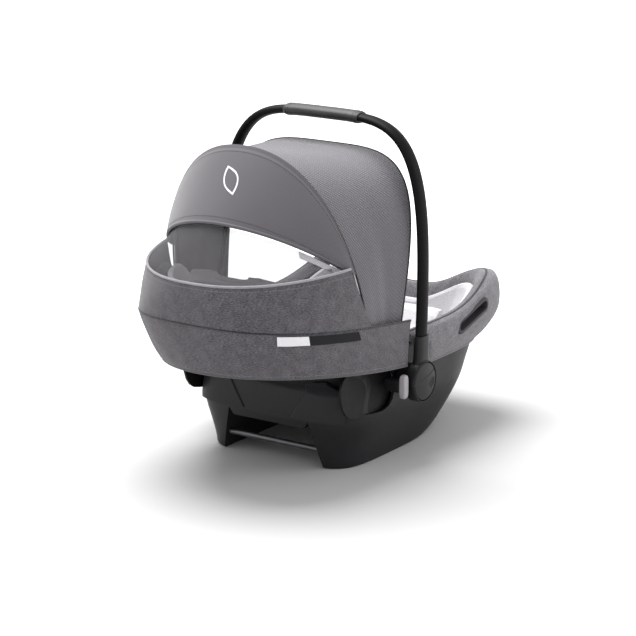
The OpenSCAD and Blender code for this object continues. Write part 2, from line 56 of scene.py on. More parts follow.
seat = {
    "hubY": 1.5, "hubZ": 138.0,
    "shellW": 372.0, "waistW": 340.0, "baseW": 290.0,
    "headReach": 336.0, "footReach": 320.0, "rearY": 145.0, "footFlat": 80.0,
    "rimHub": 200.0, "rimHead": 335.0, "rimFoot": 240.0, "rimDip": 45.0,
    "wall": 4.0, "floorZ": 90.0, "tunnelW": 160.0, "tunnelH": 80.0, "tunnelFlare": 22.0,
    "coverReach": 352.0, "visorTop": 536.0, "canopyTop": 511.0,
}
side = seat["shellW"] / 2

# arches: [foot y, foot z, top y, top z, half width, exponent]
frontArch = np.array([-38, 219, 28, seat["canopyTop"], side + 3, 4.1])
seamArch = np.array([-130, 236, -200, seat["visorTop"], side + 4, 2.25])
visorArch = np.array([-127, 320, -275, 428, side + 2, 1.92])
topArch = np.array([-62, 366, -351, 346, side + 8, 2.3])
midArch = np.array([-16, 243, -354, 280, side + 13, 2.84])
hemArch = np.array([-16, 166, -334, 197, side + 9, 2.08])


def mix(a, b, t):
    return a + (b - a) * t


def smooth(t):
    # 3t^2 - 2t^3 between 0 and 1, flat outside
    t = np.clip(t, 0, 1)
    return t * t * (3 - 2 * t)


def spow(v, p):
    # signed power, which squares off a circle into a superellipse
    return np.sign(v) * np.abs(v) ** p


def unit(v):
    return v / np.maximum(np.linalg.norm(v, axis=-1, keepdims=True), 1e-9)


def ripple(u, v, seed, longest, waves=7):
    # a sum of crossed sines with fixed random phases, about -1 to 1; longest is in the units of u and v
    rng = np.random.default_rng(seed)
    total = np.zeros(np.broadcast(u, v).shape)
    for size in rng.uniform(0.35, 1.0, waves) * longest:
        turn, phase = rng.uniform(0, 2 * np.pi, 2)
        total += np.sin((u * np.cos(turn) + v * np.sin(turn)) * 2 * np.pi / size + phase)
    return total / waves * 1.6


def catmull(points, count):
    # a Catmull-Rom curve through the points on axis -2, resampled to count points
    k = points.shape[-2]
    t = np.linspace(0, k - 1, count)
    i = np.minimum(t.astype(int), k - 2)
    f = (t - i)[:, None]
    p0, p1 = points[..., np.maximum(i - 1, 0), :], points[..., i, :]
    p2, p3 = points[..., i + 1, :], points[..., np.minimum(i + 2, k - 1), :]
    return 0.5 * (2 * p1 + (p2 - p0) * f + (2 * p0 - 5 * p1 + 4 * p2 - p3) * f ** 2
                  + (3 * p1 - p0 - 3 * p2 + p3) * f ** 3)


def spaced(path, count):
    # the same path with its points the same distance apart
    step = np.r_[0, np.cumsum(np.linalg.norm(np.diff(path, axis=0), axis=1))]
    at = np.linspace(0, step[-1], count)
    return np.stack([np.interp(at, step, path[:, k]) for k in range(3)], axis=1)


# the seat's own surfaces

def halfWidth(z):
    return (mix(seat["baseW"] / 2, seat["waistW"] / 2, smooth(z / 110))
            + (seat["shellW"] - seat["waistW"]) / 2 * smooth((z - 150) / 50))


def footY(z):
    share = np.maximum(z, 0) / seat["rimFoot"]
    return seat["footFlat"] + (seat["footReach"] - seat["footFlat"]) * share ** 0.24


def headY(z):
    low = mix(seat["rearY"] - 10, seat["rearY"], np.clip(z / seat["tunnelH"], 0, 1))
    return low + (seat["headReach"] - seat["rearY"]) * smooth((z - 130) / 90)


def evenAngle(t, n=4.0):
    # spreads the angles of a superellipse so that its points are nearly the same distance apart
    return np.arctan2(spow(np.sin(t), n / 2), spow(np.cos(t), n / 2))


def outline(a, z, off):
    # shell outline: superellipse of half width by reach at height z, pulled in by off
    k = z - 0.7 * off
    s, c = np.sin(a), np.cos(a)
    headN = mix(4.6, 2.42, smooth((k - 60) / 150))
    footN = mix(4.6, 5.5, smooth((k - 100) / 60))
    e = 2 / np.where(s > 0, footN, headN)
    reach = np.where(s > 0, footY(k), headY(k)) - off
    return np.stack(np.broadcast_arrays((halfWidth(k) - off) * spow(c, e), reach * spow(s, e), z), -1)


def rimZ(a):
    s = np.sin(a)
    dip = seat["rimDip"] * (1 - smooth((np.abs(np.cos(a)) ** (2 / 5.5) - 0.1) / 0.75))
    return np.where(s > 0, mix(seat["rimHub"], seat["rimFoot"], smooth(s * 1.3)) - dip,
                    mix(seat["rimHub"], seat["rimHead"], smooth(-s * 1.6)))


def archPoint(arch, a):
    # superellipse arch in the leaning plane from its foot to its top
    n = arch[..., 5]
    s = np.abs(np.sin(a)) ** (2 / n)
    return np.stack(np.broadcast_arrays(arch[..., 4] * spow(np.cos(a), 2 / n),
                    mix(arch[..., 0], arch[..., 2], s), mix(arch[..., 1], arch[..., 3], s)), -1)


def inset(arch, t):
    y, z = arch[..., 2] - arch[..., 0], arch[..., 3] - arch[..., 1]
    r = np.hypot(y, z)
    return arch - np.stack([0 * r, 0 * r, t * y / r, t * z / r, t + 0 * r, 0 * r], -1)


def moved(arch, dy, dz):
    return arch + np.array([dy, dz, dy, dz, 0, 0])


def archStart(arch, share):
    return math.asin(share ** (arch[5] / 2))


def archPath(arch, share, count=240):
    a0 = archStart(arch, share)
    return spaced(archPoint(arch, np.linspace(a0, math.pi - a0, count * 3)), count)


def panel(f, g, fShare, gShare, across=220, along=48):
    # ruled surface between two arches, from each one's own starting share of its height
    t = np.linspace(0, 1, along)[:, None]
    i = np.linspace(0, 1, across)[None, :]
    start = mix(archStart(f, fShare), archStart(g, gShare), t)
    a = mix(start, math.pi - start, i)
    return archPoint(mix(f, g, t[..., None]), a)


def normals(grid):
    return unit(np.cross(np.gradient(grid, axis=1), np.gradient(grid, axis=0)))


def outward(grid):
    # normals turned away from the middle of the seat's cavity
    n = normals(grid)
    away = grid - np.array([0, -60, 250])
    return n * np.sign(np.sum(n * away, -1).mean())


def spread(rows, cols):
    # 0 to 1 down a sheet's rows, and -1 to 1 along its columns
    return np.linspace(0, 1, rows)[:, None], np.linspace(-1, 1, cols)[None, :]


def surfaceUv(grid):
    # distance in metres along each row and column, so a weave keeps its size on a curved sheet
    du = np.linalg.norm(np.diff(grid, axis=1), axis=2)
    dv = np.linalg.norm(np.diff(grid, axis=0), axis=2)
    u = np.c_[np.zeros(len(grid)), np.cumsum(du, axis=1)]
    v = np.vstack([np.zeros(grid.shape[1]), np.cumsum(dv, axis=0)])
    return np.stack([u - u[:, [u.shape[1] // 2]], v], -1).reshape(-1, 2) * mm


# meshes

def quads(rows, cols, first=0, wrapRows=False, wrapCols=False):
    r = np.arange(rows if wrapRows else rows - 1)[:, None]
    c = np.arange(cols if wrapCols else cols - 1)[None, :]
    r1, c1 = (r + 1) % rows, (c + 1) % cols
    cells = np.stack(np.broadcast_arrays(r * cols + c, r * cols + c1, r1 * cols + c1, r1 * cols + c), -1)
    return cells.reshape(-1, 4) + first


def cappedFaces(rows, cols):
    # the sides of a stack of rings and a flat face at each end
    ends = [list(range(cols)), list(range((rows - 1) * cols, rows * cols))]
    return quads(rows, cols, wrapCols=True).tolist() + ends


def makePiece(name, verts, faces, material, uv=None, crease=38, mirror=False):
    # a closed mesh in metres, facing outwards
    verts = np.array(verts, float).reshape(-1, 3) * (np.array([-1, 1, 1]) if mirror else 1)
    verts = (verts + np.array([0, seat["hubY"], 0])) * mm
    mesh = bpy.data.meshes.new(name)
    mesh.from_pydata(verts.tolist(), [], [list(f) for f in faces])
    if uv is not None:
        layer = mesh.uv_layers.new(name="UVMap")
        corner = np.zeros(len(mesh.loops), np.int32)
        mesh.loops.foreach_get("vertex_index", corner)
        layer.data.foreach_set("uv", uv[corner].astype(np.float32).ravel())
    bm = bmesh.new()
    bm.from_mesh(mesh)
    bmesh.ops.remove_doubles(bm, verts=bm.verts, dist=1e-6)
    bmesh.ops.recalc_face_normals(bm, faces=bm.faces)
    bm.to_mesh(mesh)
    bm.free()
    mesh.shade_smooth()
    mesh.set_sharp_from_angle(angle=math.radians(crease))
    mesh.materials.append(material)
    piece = bpy.data.objects.new(name, mesh)
    bpy.context.scene.collection.objects.link(piece)
    return piece


def clothSheet(name, outer, thickness, material, lining=None, inner=None, crease=60):
    # a sheet with its back face at thickness, or on a grid of its own, and its four edges closed
    if inner is None:
        inner = outer - outward(outer) * thickness
    rows, cols = outer.shape[:2]
    size = rows * cols
    front = quads(rows, cols)
    back = quads(rows, cols, size)[:, ::-1]
    loop = np.r_[np.arange(cols), np.arange(1, rows) * cols + cols - 1,
                 (rows - 1) * cols + np.arange(cols - 2, -1, -1), np.arange(rows - 2, 0, -1) * cols]
    nxt = np.roll(loop, -1)
    edge = np.stack([loop, loop + size, nxt + size, nxt], -1)
    uv = surfaceUv(outer)
    piece = makePiece(name, np.r_[outer.reshape(-1, 3), inner.reshape(-1, 3)],
                      np.r_[front, back, edge], material, np.r_[uv, uv], crease=crease)
    if lining:
        piece.data.materials.append(lining)
        which = np.r_[np.zeros(len(front)), np.ones(len(back)), np.zeros(len(edge))].astype(np.int32)
        piece.data.polygons.foreach_set("material_index", which)
    return piece


def tube(name, path, width, depth, material, sides=20, lean=None):
    # an oval profile carried along a path; width and depth are radii, one value or one for each point
    path = np.array(path, float)
    d = unit(np.gradient(path, axis=0))
    ref = np.array([0, 1, 0.01]) if lean is None else lean
    q = unit(np.cross(d, unit(np.array(ref, float))))
    p = unit(np.cross(q, d))
    a = np.linspace(0, 2 * np.pi, sides, endpoint=False)
    w = np.broadcast_to(width, len(path))[:, None, None]
    t = np.broadcast_to(depth, len(path))[:, None, None]
    c, s = np.cos(a)[None, :, None], np.sin(a)[None, :, None]
    rings = path[:, None] + w * c * p[:, None] + t * s * q[:, None]
    return makePiece(name, rings.reshape(-1, 3), cappedFaces(len(path), sides), material)


def stitchRow(name, path, away, material, pitch, length, radius):
    # short threads laid end to end along a path: six-sided spindles, all made as one array
    path, away = np.array(path, float), np.broadcast_to(away, np.shape(path))
    step = np.r_[0, np.cumsum(np.linalg.norm(np.diff(path, axis=0), axis=1))]
    at = np.arange(pitch, step[-1] - pitch, pitch)
    mid = np.stack([np.interp(at, step, path[:, k]) for k in range(3)], 1)
    up = unit(np.stack([np.interp(at, step, away[:, k]) for k in range(3)], 1))
    tangent = np.gradient(path, axis=0)
    d = unit(np.stack([np.interp(at, step, tangent[:, k]) for k in range(3)], 1))
    q = np.cross(d, up)
    a = np.linspace(0, 2 * np.pi, 6, endpoint=False)
    stations = [(-0.5, 0.35), (-0.3, 1.0), (0.3, 1.0), (0.5, 0.35)]
    rings = [mid[:, None] + d[:, None] * s * length + r * radius
             * (np.cos(a)[None, :, None] * up[:, None] + np.sin(a)[None, :, None] * q[:, None])
             for s, r in stations]
    block = np.stack(rings, 1).reshape(len(at), -1, 3)
    capFaces = [[0, 1, 2, 3], [0, 3, 4, 5], [18, 19, 20, 21], [18, 21, 22, 23]]
    one = quads(4, 6, wrapCols=True).tolist() + capFaces
    faces = (np.array(one)[None] + (np.arange(len(at)) * 24)[:, None, None]).reshape(-1, 4)
    return makePiece(name, block.reshape(-1, 3), faces, material)


def roundBlock(name, centre, half, material, n=5.0, mirror=False):
    # a superellipsoid: a block whose faces swell a little and whose edges are round
    v = evenAngle(np.linspace(-np.pi / 2, np.pi / 2, 41), n)[:, None]
    u = evenAngle(np.linspace(0, 2 * np.pi, 80, endpoint=False), n)[None, :]
    e = 2 / n
    p = np.stack(np.broadcast_arrays(half[0] * spow(np.cos(v), e) * spow(np.cos(u), e),
                 half[1] * spow(np.cos(v), e) * spow(np.sin(u), e), half[2] * spow(np.sin(v), e)), -1)
    verts = (p + np.array(centre)).reshape(-1, 3)
    return makePiece(name, verts, quads(41, 80, wrapCols=True), material, mirror=mirror)


def prism(name, corners, x0, x1, axis="x"):
    # a flat outline carried straight along one axis, used to cut with
    corners = np.array(corners, float)
    n = len(corners)
    column = 0 if axis == "x" else 1
    ends = [np.insert(corners, column, x, axis=1) for x in (x0, x1)]
    sides = [[i, (i + 1) % n, n + (i + 1) % n, n + i] for i in range(n)]
    return makePiece(name, np.r_[ends[0], ends[1]], sides + [list(range(n)), list(range(n, 2 * n))], blank)


def rounded(corners, times):
    # corner cutting: each corner is replaced by points a quarter of the way along its two sides
    p = np.array(corners, float)
    for _ in range(times):
        q = np.roll(p, -1, axis=0)
        p = np.stack([mix(p, q, 0.25), mix(p, q, 0.75)], 1).reshape(-1, 2)
    return p


def cutAway(piece, *cutters, crease=32):
    for cutter in cutters:
        mod = piece.modifiers.new("cut", "BOOLEAN")
        mod.object, mod.operation, mod.solver = cutter, "DIFFERENCE", "EXACT"
        bpy.context.view_layer.update()
        cut = bpy.data.meshes.new_from_object(piece.evaluated_get(bpy.context.evaluated_depsgraph_get()))
        piece.modifiers.clear()
        piece.data = cut
        cutterMesh = cutter.data
        bpy.data.objects.remove(cutter)
        bpy.data.meshes.remove(cutterMesh)
    piece.data.shade_smooth()
    piece.data.set_sharp_from_angle(angle=math.radians(crease))
    piece.data.materials.clear()
    return piece


def finishAs(piece, body, slot, *nodes):
    if nodes:
        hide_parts(*nodes)
    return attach(piece, body) if body else piece


def cord(name, path, radius, finish, body, slot, *nodes):
    # a round tube in one of the finishes below
    return finishAs(tube(name, path, radius, radius, paint[finish]), body, slot, *nodes)


# materials

def linear(hexColour):
    # sRGB hex to linear colour
    c = np.array([int(hexColour[k:k + 2], 16) for k in (1, 3, 5)]) / 255
    c = np.where(c <= 0.04045, c / 12.92, ((c + 0.055) / 1.055) ** 2.4)
    return (*c.tolist(), 1.0)


def addNode(tree, kind, settings=None, values=None, links=None):
    node = tree.nodes.new(kind)
    for key, value in (settings or {}).items():
        setattr(node, key, value)
    for key, value in (values or {}).items():
        node.inputs[key].default_value = value
    for key, source in (links or {}).items():
        tree.links.new(source, node.inputs[key])
    return node


def startMaterial(name, values):
    material = bpy.data.materials.new(name)
    material.use_nodes = True
    tree = material.node_tree
    tree.nodes.clear()
    shader = addNode(tree, "ShaderNodeBsdfPrincipled", values=values)
    addNode(tree, "ShaderNodeOutputMaterial", links={"Surface": shader.outputs[0]})
    return material, tree, shader


def rampStops(ramp, stops):
    elements = ramp.color_ramp.elements
    while len(elements) < len(stops):
        elements.new(0.5)
    for element, (at, colour) in zip(elements, stops):
        element.position, element.color = at, linear(colour)


def colourFrom(tree, shader, source, stops):
    # base colour from a pattern, by a two-colour ramp
    ramp = addNode(tree, "ShaderNodeValToRGB", links={"Fac": source})
    rampStops(ramp, stops)
    tree.links.new(ramp.outputs[0], shader.inputs["Base Color"])


def bumpFrom(tree, shader, source, strength, distance):
    bump = addNode(tree, "ShaderNodeBump", values={"Strength": strength, "Distance": distance},
                   links={"Height": source})
    tree.links.new(bump.outputs[0], shader.inputs["Normal"])


def glossFrom(tree, shader, source, values):
    gloss = addNode(tree, "ShaderNodeMapRange", values=values, links={"Value": source})
    tree.links.new(gloss.outputs[0], shader.inputs["Roughness"])


def clothMaterial(name, dark, light, spec):
    # woven cloth: slubs set the colour, two crossed thread waves set the relief,
    # and sheen lifts the grazing edges
    material, tree, shader = startMaterial(name, {
        "Roughness": spec.get("roughness", 0.9), "Sheen Weight": spec.get("sheen", 0.25),
        "Sheen Roughness": 0.5, "Specular IOR Level": spec.get("specular", 0.25)})
    where = addNode(tree, "ShaderNodeTexCoord")
    source = where.outputs["UV" if spec.get("uv", True) else "Object"]
    slub = addNode(tree, "ShaderNodeMapping", values={"Scale": spec.get("slub", (260, 760, 500)),
                   "Rotation": (0, 0, spec.get("turn", 0.0))}, links={"Vector": source})
    fleck = addNode(tree, "ShaderNodeTexNoise", {"noise_dimensions": "3D"},
                    {"Scale": 1.0, "Detail": 3.0, "Roughness": 0.62}, {"Vector": slub.outputs[0]})
    cloud = addNode(tree, "ShaderNodeTexNoise", values={"Scale": spec.get("cloud", 55.0), "Detail": 2.0},
                    links={"Vector": source})
    both = addNode(tree, "ShaderNodeMath", {"operation": "MULTIPLY_ADD"}, {1: spec.get("cloudShare", 0.28)},
                   {0: cloud.outputs[0], 2: fleck.outputs[0]})
    contrast = spec.get("contrast", 0.16)
    colourFrom(tree, shader, both.outputs[0], [(0.64 - contrast, dark), (0.64 + contrast, light)])
    weft = addNode(tree, "ShaderNodeMapping", values={"Rotation": (0, 0, spec.get("weaveTurn", 0.785))},
                   links={"Vector": source})
    threads = [addNode(tree, "ShaderNodeTexWave", {"bands_direction": axis}, {"Scale": spec["weave"],
               "Distortion": spec.get("wobble", 0.6), "Detail": 1.0}, {"Vector": weft.outputs[0]})
               for axis in ("X", "Y")]
    relief = addNode(tree, "ShaderNodeMath", {"operation": "MULTIPLY"},
                     links={0: threads[0].outputs["Fac"], 1: threads[1].outputs["Fac"]})
    mixed = addNode(tree, "ShaderNodeMath", {"operation": "MULTIPLY_ADD"}, {1: 0.7},
                    {0: fleck.outputs[0], 2: relief.outputs[0]})
    bumpFrom(tree, shader, mixed.outputs[0], spec.get("bump", 0.5), 0.0009)
    return material


def mouldedMaterial(name, colour, worn, roughness=0.45, grain=900.0, bumpMm=0.12, specular=0.22, coat=0.0):
    # moulded plastic: fine spark-eroded grain, a cloudy gloss, and paler rubbed patches
    values = {"Specular IOR Level": specular, "Coat Weight": coat, "IOR": 1.5}
    material, tree, shader = startMaterial(name, values)
    where = addNode(tree, "ShaderNodeTexCoord").outputs["Object"]
    rub = addNode(tree, "ShaderNodeTexNoise", values={"Scale": 14.0, "Detail": 6.0, "Roughness": 0.65},
                  links={"Vector": where})
    colourFrom(tree, shader, rub.outputs[0], [(0.42, colour), (0.78, worn)])
    glossFrom(tree, shader, rub.outputs[0], {"From Min": 0.3, "From Max": 0.7, "To Min": roughness - 0.07,
                                             "To Max": roughness + 0.1})
    pits = addNode(tree, "ShaderNodeTexNoise", values={"Scale": grain, "Detail": 2.0},
                   links={"Vector": where})
    bumpFrom(tree, shader, pits.outputs[0], 0.3, bumpMm * mm)
    return material


def leatherMaterial(name, colour, worn):
    # leatherette: cell grain of about 2 mm with soft valleys
    material, tree, shader = startMaterial(name, {"Roughness": 0.55, "Specular IOR Level": 0.45})
    where = addNode(tree, "ShaderNodeTexCoord").outputs["Object"]
    cells = addNode(tree, "ShaderNodeTexVoronoi", {"feature": "DISTANCE_TO_EDGE"}, {"Scale": 480.0},
                    {"Vector": where})
    rub = addNode(tree, "ShaderNodeTexNoise", values={"Scale": 45.0, "Detail": 4.0}, links={"Vector": where})
    colourFrom(tree, shader, rub.outputs[0], [(0.4, colour), (0.75, worn)])
    bumpFrom(tree, shader, cells.outputs[0], 0.45, 0.0005)
    return material


def metalMaterial(name, colour, worn, roughness, metallic):
    # drawn steel: fine lines along X set both its colour and its gloss
    material, tree, shader = startMaterial(name, {"Metallic": metallic, "Specular IOR Level": 0.3})
    where = addNode(tree, "ShaderNodeTexCoord").outputs["Object"]
    draw = addNode(tree, "ShaderNodeMapping", values={"Scale": (40, 900, 900)}, links={"Vector": where})
    lines = addNode(tree, "ShaderNodeTexNoise", values={"Scale": 1.0, "Detail": 3.0},
                    links={"Vector": draw.outputs[0]})
    colourFrom(tree, shader, lines.outputs[0], [(0.35, colour), (0.75, worn)])
    glossFrom(tree, shader, lines.outputs[0], {"To Min": roughness - 0.08, "To Max": roughness + 0.1})
    return material


def netMaterial(name, colour, open_):
    # warp-knitted net: crossed threads a little under 2 mm apart, over a clear haze
    material, tree, shader = startMaterial(name, {"Base Color": linear(colour), "Roughness": 0.8,
                                                  "Sheen Weight": 0.2})
    where = addNode(tree, "ShaderNodeTexCoord").outputs["UV"]
    turned = addNode(tree, "ShaderNodeMapping", values={"Rotation": (0, 0, 0.785)}, links={"Vector": where})
    threads = [addNode(tree, "ShaderNodeTexWave", {"bands_direction": axis}, {"Scale": 190.0},
               {"Vector": turned.outputs[0]}).outputs["Fac"] for axis in ("X", "Y")]
    most = addNode(tree, "ShaderNodeMath", {"operation": "MAXIMUM"}, links={0: threads[0], 1: threads[1]})
    cover = addNode(tree, "ShaderNodeMapRange", values={"From Min": 0.6, "From Max": 1.0, "To Min": open_,
                    "To Max": open_ + 0.3}, links={"Value": most.outputs[0]})
    tree.links.new(cover.outputs[0], shader.inputs["Alpha"])
    return material


blank = bpy.data.materials.new("cutting blank")

melangeSpec = {"weave": 110.0, "slub": (230, 720, 500), "contrast": 0.15, "bump": 0.6, "turn": 0.12}
ripstopSpec = {"weave": 80.0, "slub": (500, 500, 500), "contrast": 0.26, "bump": 0.75, "cloud": 9.0,
               "cloudShare": 0.3, "sheen": 0.35, "roughness": 0.72, "wobble": 0.15}
visorSpec = {"weave": 190.0, "slub": (800, 800, 800), "contrast": 0.4, "bump": 0.25, "cloud": 8.0,
             "sheen": 0.3, "roughness": 0.78}
knitSpec = {"weave": 150.0, "slub": (400, 400, 400), "contrast": 0.3, "bump": 0.4, "uv": False}
webSpec = {"weave": 260.0, "slub": (300, 900, 300), "contrast": 0.25, "bump": 0.8, "uv": False,
           "weaveTurn": 0.3}
tapeSpec = {"weave": 500.0, "slub": (900, 900, 900), "contrast": 0.3, "bump": 0.12, "sheen": 0.0}

# the handle's tube is anodised nearly black and matt, so it takes a moulded finish
paint = {
    "shell_plastic": mouldedMaterial("moulded charcoal polypropylene", "#1b1a1c", "#232225", 0.45),
    # painted shade: a darker copy of the shell plastic for the backs of the handle sockets, standing in for
    # the shade inside those recesses
    "recess_shade_plastic": mouldedMaterial("moulded black polypropylene with painted recess shade", "#0c0b0c", "#121112", 0.6),
    "guide_plastic": mouldedMaterial("moulded black nylon", "#2a282b", "#37353a", 0.5),
    "hub_plastic": mouldedMaterial("satin black nylon", "#131214", "#1a191b", 0.42),
    "lever_grey": mouldedMaterial("light grey acetal", "#8f8c90", "#9b989d", 0.45),
    "buckle_plastic": mouldedMaterial("glossy black nylon", "#161517", "#222124", 0.3, coat=0.2),
    "button_red": mouldedMaterial("red acetal", "#a11f17", "#b2342a", 0.35),
    "button_grey": mouldedMaterial("mid grey acetal", "#6a696c", "#777679", 0.45),
    "canopy_stay": mouldedMaterial("black spring nylon", "#19181a", "#242325", 0.55),
    "latch_steel": metalMaterial("dark zinc plated steel", "#5a595c", "#77767a", 0.38, 0.9),
    "handle_metal": mouldedMaterial("black anodised aluminium", "#09080a", "#0f0e10", 0.5, 700.0, 0.05, 0.08),
    "grip_leather": leatherMaterial("black leatherette", "#19181a", "#262527"),
    "melange_band": clothMaterial("dark melange twill", "#322f33", "#5d5a5f", melangeSpec),
    "melange_cover": clothMaterial("grey melange twill", "#464348", "#79767b", melangeSpec),
    "canopy_cloth": clothMaterial("grey ripstop", "#433f45", "#545157", ripstopSpec),
    "visor_cloth": clothMaterial("smooth grey microfibre", "#484549", "#5a575c", visorSpec),
    "dark_lining": clothMaterial("charcoal canopy lining", "#19181a", "#211f22", ripstopSpec),
    "lining_cloth": clothMaterial("grey canopy lining", "#1f1d20", "#282629", ripstopSpec),
    "liner_fabric": clothMaterial("pale grey knit", "#aeacb0", "#c6c4c8", knitSpec),
    "pad_fabric": clothMaterial("off-white knit", "#c0bec2", "#d6d4d7", knitSpec),
    "webbing": clothMaterial("woven black webbing", "#1c1b1d", "#343336", webSpec),
    "harness_pad": clothMaterial("charcoal knit", "#2b2a2d", "#403f43", knitSpec),
    "piping_grey": clothMaterial("pale grey cord piping", "#7d7a7f", "#96939a", webSpec),
    "piping_dark": clothMaterial("near black cord piping", "#1b1a1c", "#2a292c", webSpec),
    "tab_grey": clothMaterial("pale grey woven tape", "#8d8a90", "#a5a2a8", webSpec),
    "label_white": clothMaterial("white woven tape", "#c4c2c5", "#d8d6d9", tapeSpec),
    "label_black": clothMaterial("black woven tape", "#121113", "#1d1c1f", tapeSpec),
    "mesh_cloth": netMaterial("mid grey net", "#3d3b3f", 0.2),
    "thread": clothMaterial("grey sewing thread", "#6f6c72", "#8b888e", webSpec),
    "thread_dark": clothMaterial("black sewing thread", "#1b1a1c", "#2a292b", webSpec),
    "motif": clothMaterial("white reflective print", "#dcdadd", "#f0eff1", webSpec),
}
for row in frame["record"]["subparts"]:
    for place in frame["nodes"][row["node"]].material_slots:
        place.material = paint[row["material_slot"]]
print("materials made")

# canopy

canopy = {"cloth": 1.6, "sag": 5.0, "folds": 1.3, "hem": 2.2, "foldStart": -178.8, "foldEnd": -85.3}

grid = panel(frontArch, seamArch, 0.03, 0.02, 260, 64)
t, i = spread(64, 260)
low = smooth((np.abs(i) - 0.55) / 0.45)
push = -canopy["sag"] * np.sin(np.pi * t) * (1 - 0.5 * low)
push = push + canopy["folds"] * np.sin(np.pi * t) * ripple(i * 240, t * 200, 4, 150) * (0.35 + low)
grid = grid + outward(grid) * push[..., None]
canopyFront = clothSheet("canopyFront", grid, canopy["cloth"], paint["canopy_cloth"], paint["dark_lining"])
finishAs(canopyFront, None, "canopy_cloth", "canopy_front")
hub = np.array([0, seat["hubY"], 0])
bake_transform(canopyFront)

for name, arch, share, radius, finish, body, slot, nodes in (
        ("canopyEdge", inset(frontArch, 1), 0.03, 2.3, "piping_dark", "canopy", "canopy_cloth", []),
        ("canopyBow", inset(frontArch, 7), 0.14, 2.5, "canopy_stay", "canopy", "canopy_stay", ["canopy_bow"]),
        ("rearBow", inset(seamArch, 7), 0.1, 2.5, "canopy_stay", "carrier", "canopy_stay",
         ["canopy_rear_bow"]),
        ("seamCord", inset(moved(seamArch, -1, 1), -1.5), 0.03, 1.5, "piping_dark", "carrier",
         "canopy_cloth", [])):
    cord(name, archPath(arch, share), radius, finish, body, slot, *nodes)

grid = panel(moved(inset(seamArch, 1), -3, 0), inset(visorArch, 11), 0.4, 0.3, 200, 36)
lining = clothSheet("canopyLining", grid, 1.4, paint["lining_cloth"])
finishAs(lining, "carrier", "canopy_cloth", "canopy_rear")

# visor: a stiffened flap that stands proud of the canopy, with a turned lower edge
visor = {"cloth": 2.4, "crown": 3.0, "hem": 2.7, "topSeam": 0.045}
grid = panel(moved(inset(seamArch, -3.5), -4, 2), visorArch, 0.36, 0.36, 260, 56)
t, i = spread(56, 260)
push = visor["crown"] * np.sin(np.pi * t) ** 0.7 - 1.2 * np.exp(-((t - visor["topSeam"]) / 0.014) ** 2)
push = push + 0.8 * ripple(i * 240, t * 150, 9, 170) * np.sin(np.pi * t) * np.abs(i) ** 0.5
grid = grid + outward(grid) * push[..., None]
visorGrid = grid
visorPiece = clothSheet("visorFlap", grid, visor["cloth"], paint["visor_cloth"], paint["dark_lining"])
finishAs(visorPiece, "carrier", "visor_cloth", "visor")
away = outward(grid)
hemPath = spaced(grid[-1] - away[-1] * 1.2, 240)
cord("visorHem", hemPath, visor["hem"], "visor_cloth", "carrier", "visor_cloth", "visor_edge")
for name, row in (("visorSeamStitch", 5), ("visorHemStitch", 51)):
    stitch = stitchRow(name, grid[row], away[row], paint["thread_dark"], 4.2, 3.0, 0.4)
    finishAs(stitch, "carrier", "visor_cloth")

# net window under the visor
grid = panel(moved(inset(visorArch, 5), -1, -3), moved(inset(topArch, 3.5), 0, 1), 0.44, 0.385, 220, 40)
t, i = spread(40, 220)
push = -2.5 * np.sin(np.pi * t) * (1 - i ** 2) + 0.6 * ripple(i * 200, t * 90, 5, 120)
grid = grid + outward(grid) * push[..., None]
net = clothSheet("windowNet", grid, 0.5, paint["mesh_cloth"])
finishAs(net, "carrier", "mesh_cloth", "mesh_window")

# bands of melange twill round the head end
band = {"cloth": 2.6, "puff": 3.2}
for name, f, g, fShare, gShare, node, seed in (
        ("bandUpper", moved(topArch, 0, -1.5), moved(midArch, 0, 1.5), 0.385, 0.34, "band_upper", 21),
        ("bandLower", moved(midArch, 0, -1.5), hemArch, 0.012, 0.02, "band_lower", 22)):
    grid = panel(f, g, fShare, gShare, 280, 44)
    t, i = spread(44, 280)
    fade = np.sin(np.pi * np.clip(t, 0.0, 1)) ** 0.6
    push = fade * (band["puff"] * (0.6 + 0.4 * np.cos(i * 3)) + 0.9 * ripple(i * 500, t * 90, seed, 160))
    grid = grid + outward(grid) * push[..., None]
    piece = clothSheet(name, grid, band["cloth"], paint["melange_band"], paint["dark_lining"])
    finishAs(piece, "carrier", "melange_band", node)
    away = outward(grid)
    row = 40 if node == "band_lower" else 4
    stitch = stitchRow(name + "Stitch", grid[row], away[row], paint["thread"], 4.6, 3.0, 0.35)
    finishAs(stitch, "carrier", "melange_band")
    if node == "band_lower":
        hemPath = spaced(grid[-1] - away[-1] * 1.3, 240)
        cord("bandHem", hemPath, canopy["hem"], "melange_band", "carrier", "melange_band")
topLine, seamLine = archPath(inset(topArch, 1.0), 0.385), archPath(inset(midArch, 0.8), 0.012)
cord("pipingTop", topLine, 2.2, "piping_grey", "carrier", "piping_grey", "piping_top")
cord("pipingSeam", seamLine, 2.0, "piping_dark", "carrier", "piping_dark", "piping_seam")


# woven tapes sewn on the lower band, cut out of its own grid, which is the last one made above
for name, a0, a1, node in (("labelWhite", 40.2, 54, "label_white"), ("labelBlack", 18, 40, "label_black")):
    start = np.degrees(archStart(moved(midArch, 0, -1.5), 0.012))
    c0, c1 = [round((v - start) / (180 - 2 * start) * 279) for v in (a0, a1)]
    tape = grid[1:10, c0:c1 + 1] + away[1:10, c0:c1 + 1] * 2.1
    piece = clothSheet(name, tape, 0.9, paint[node])
    finishAs(piece, "carrier", node, node)

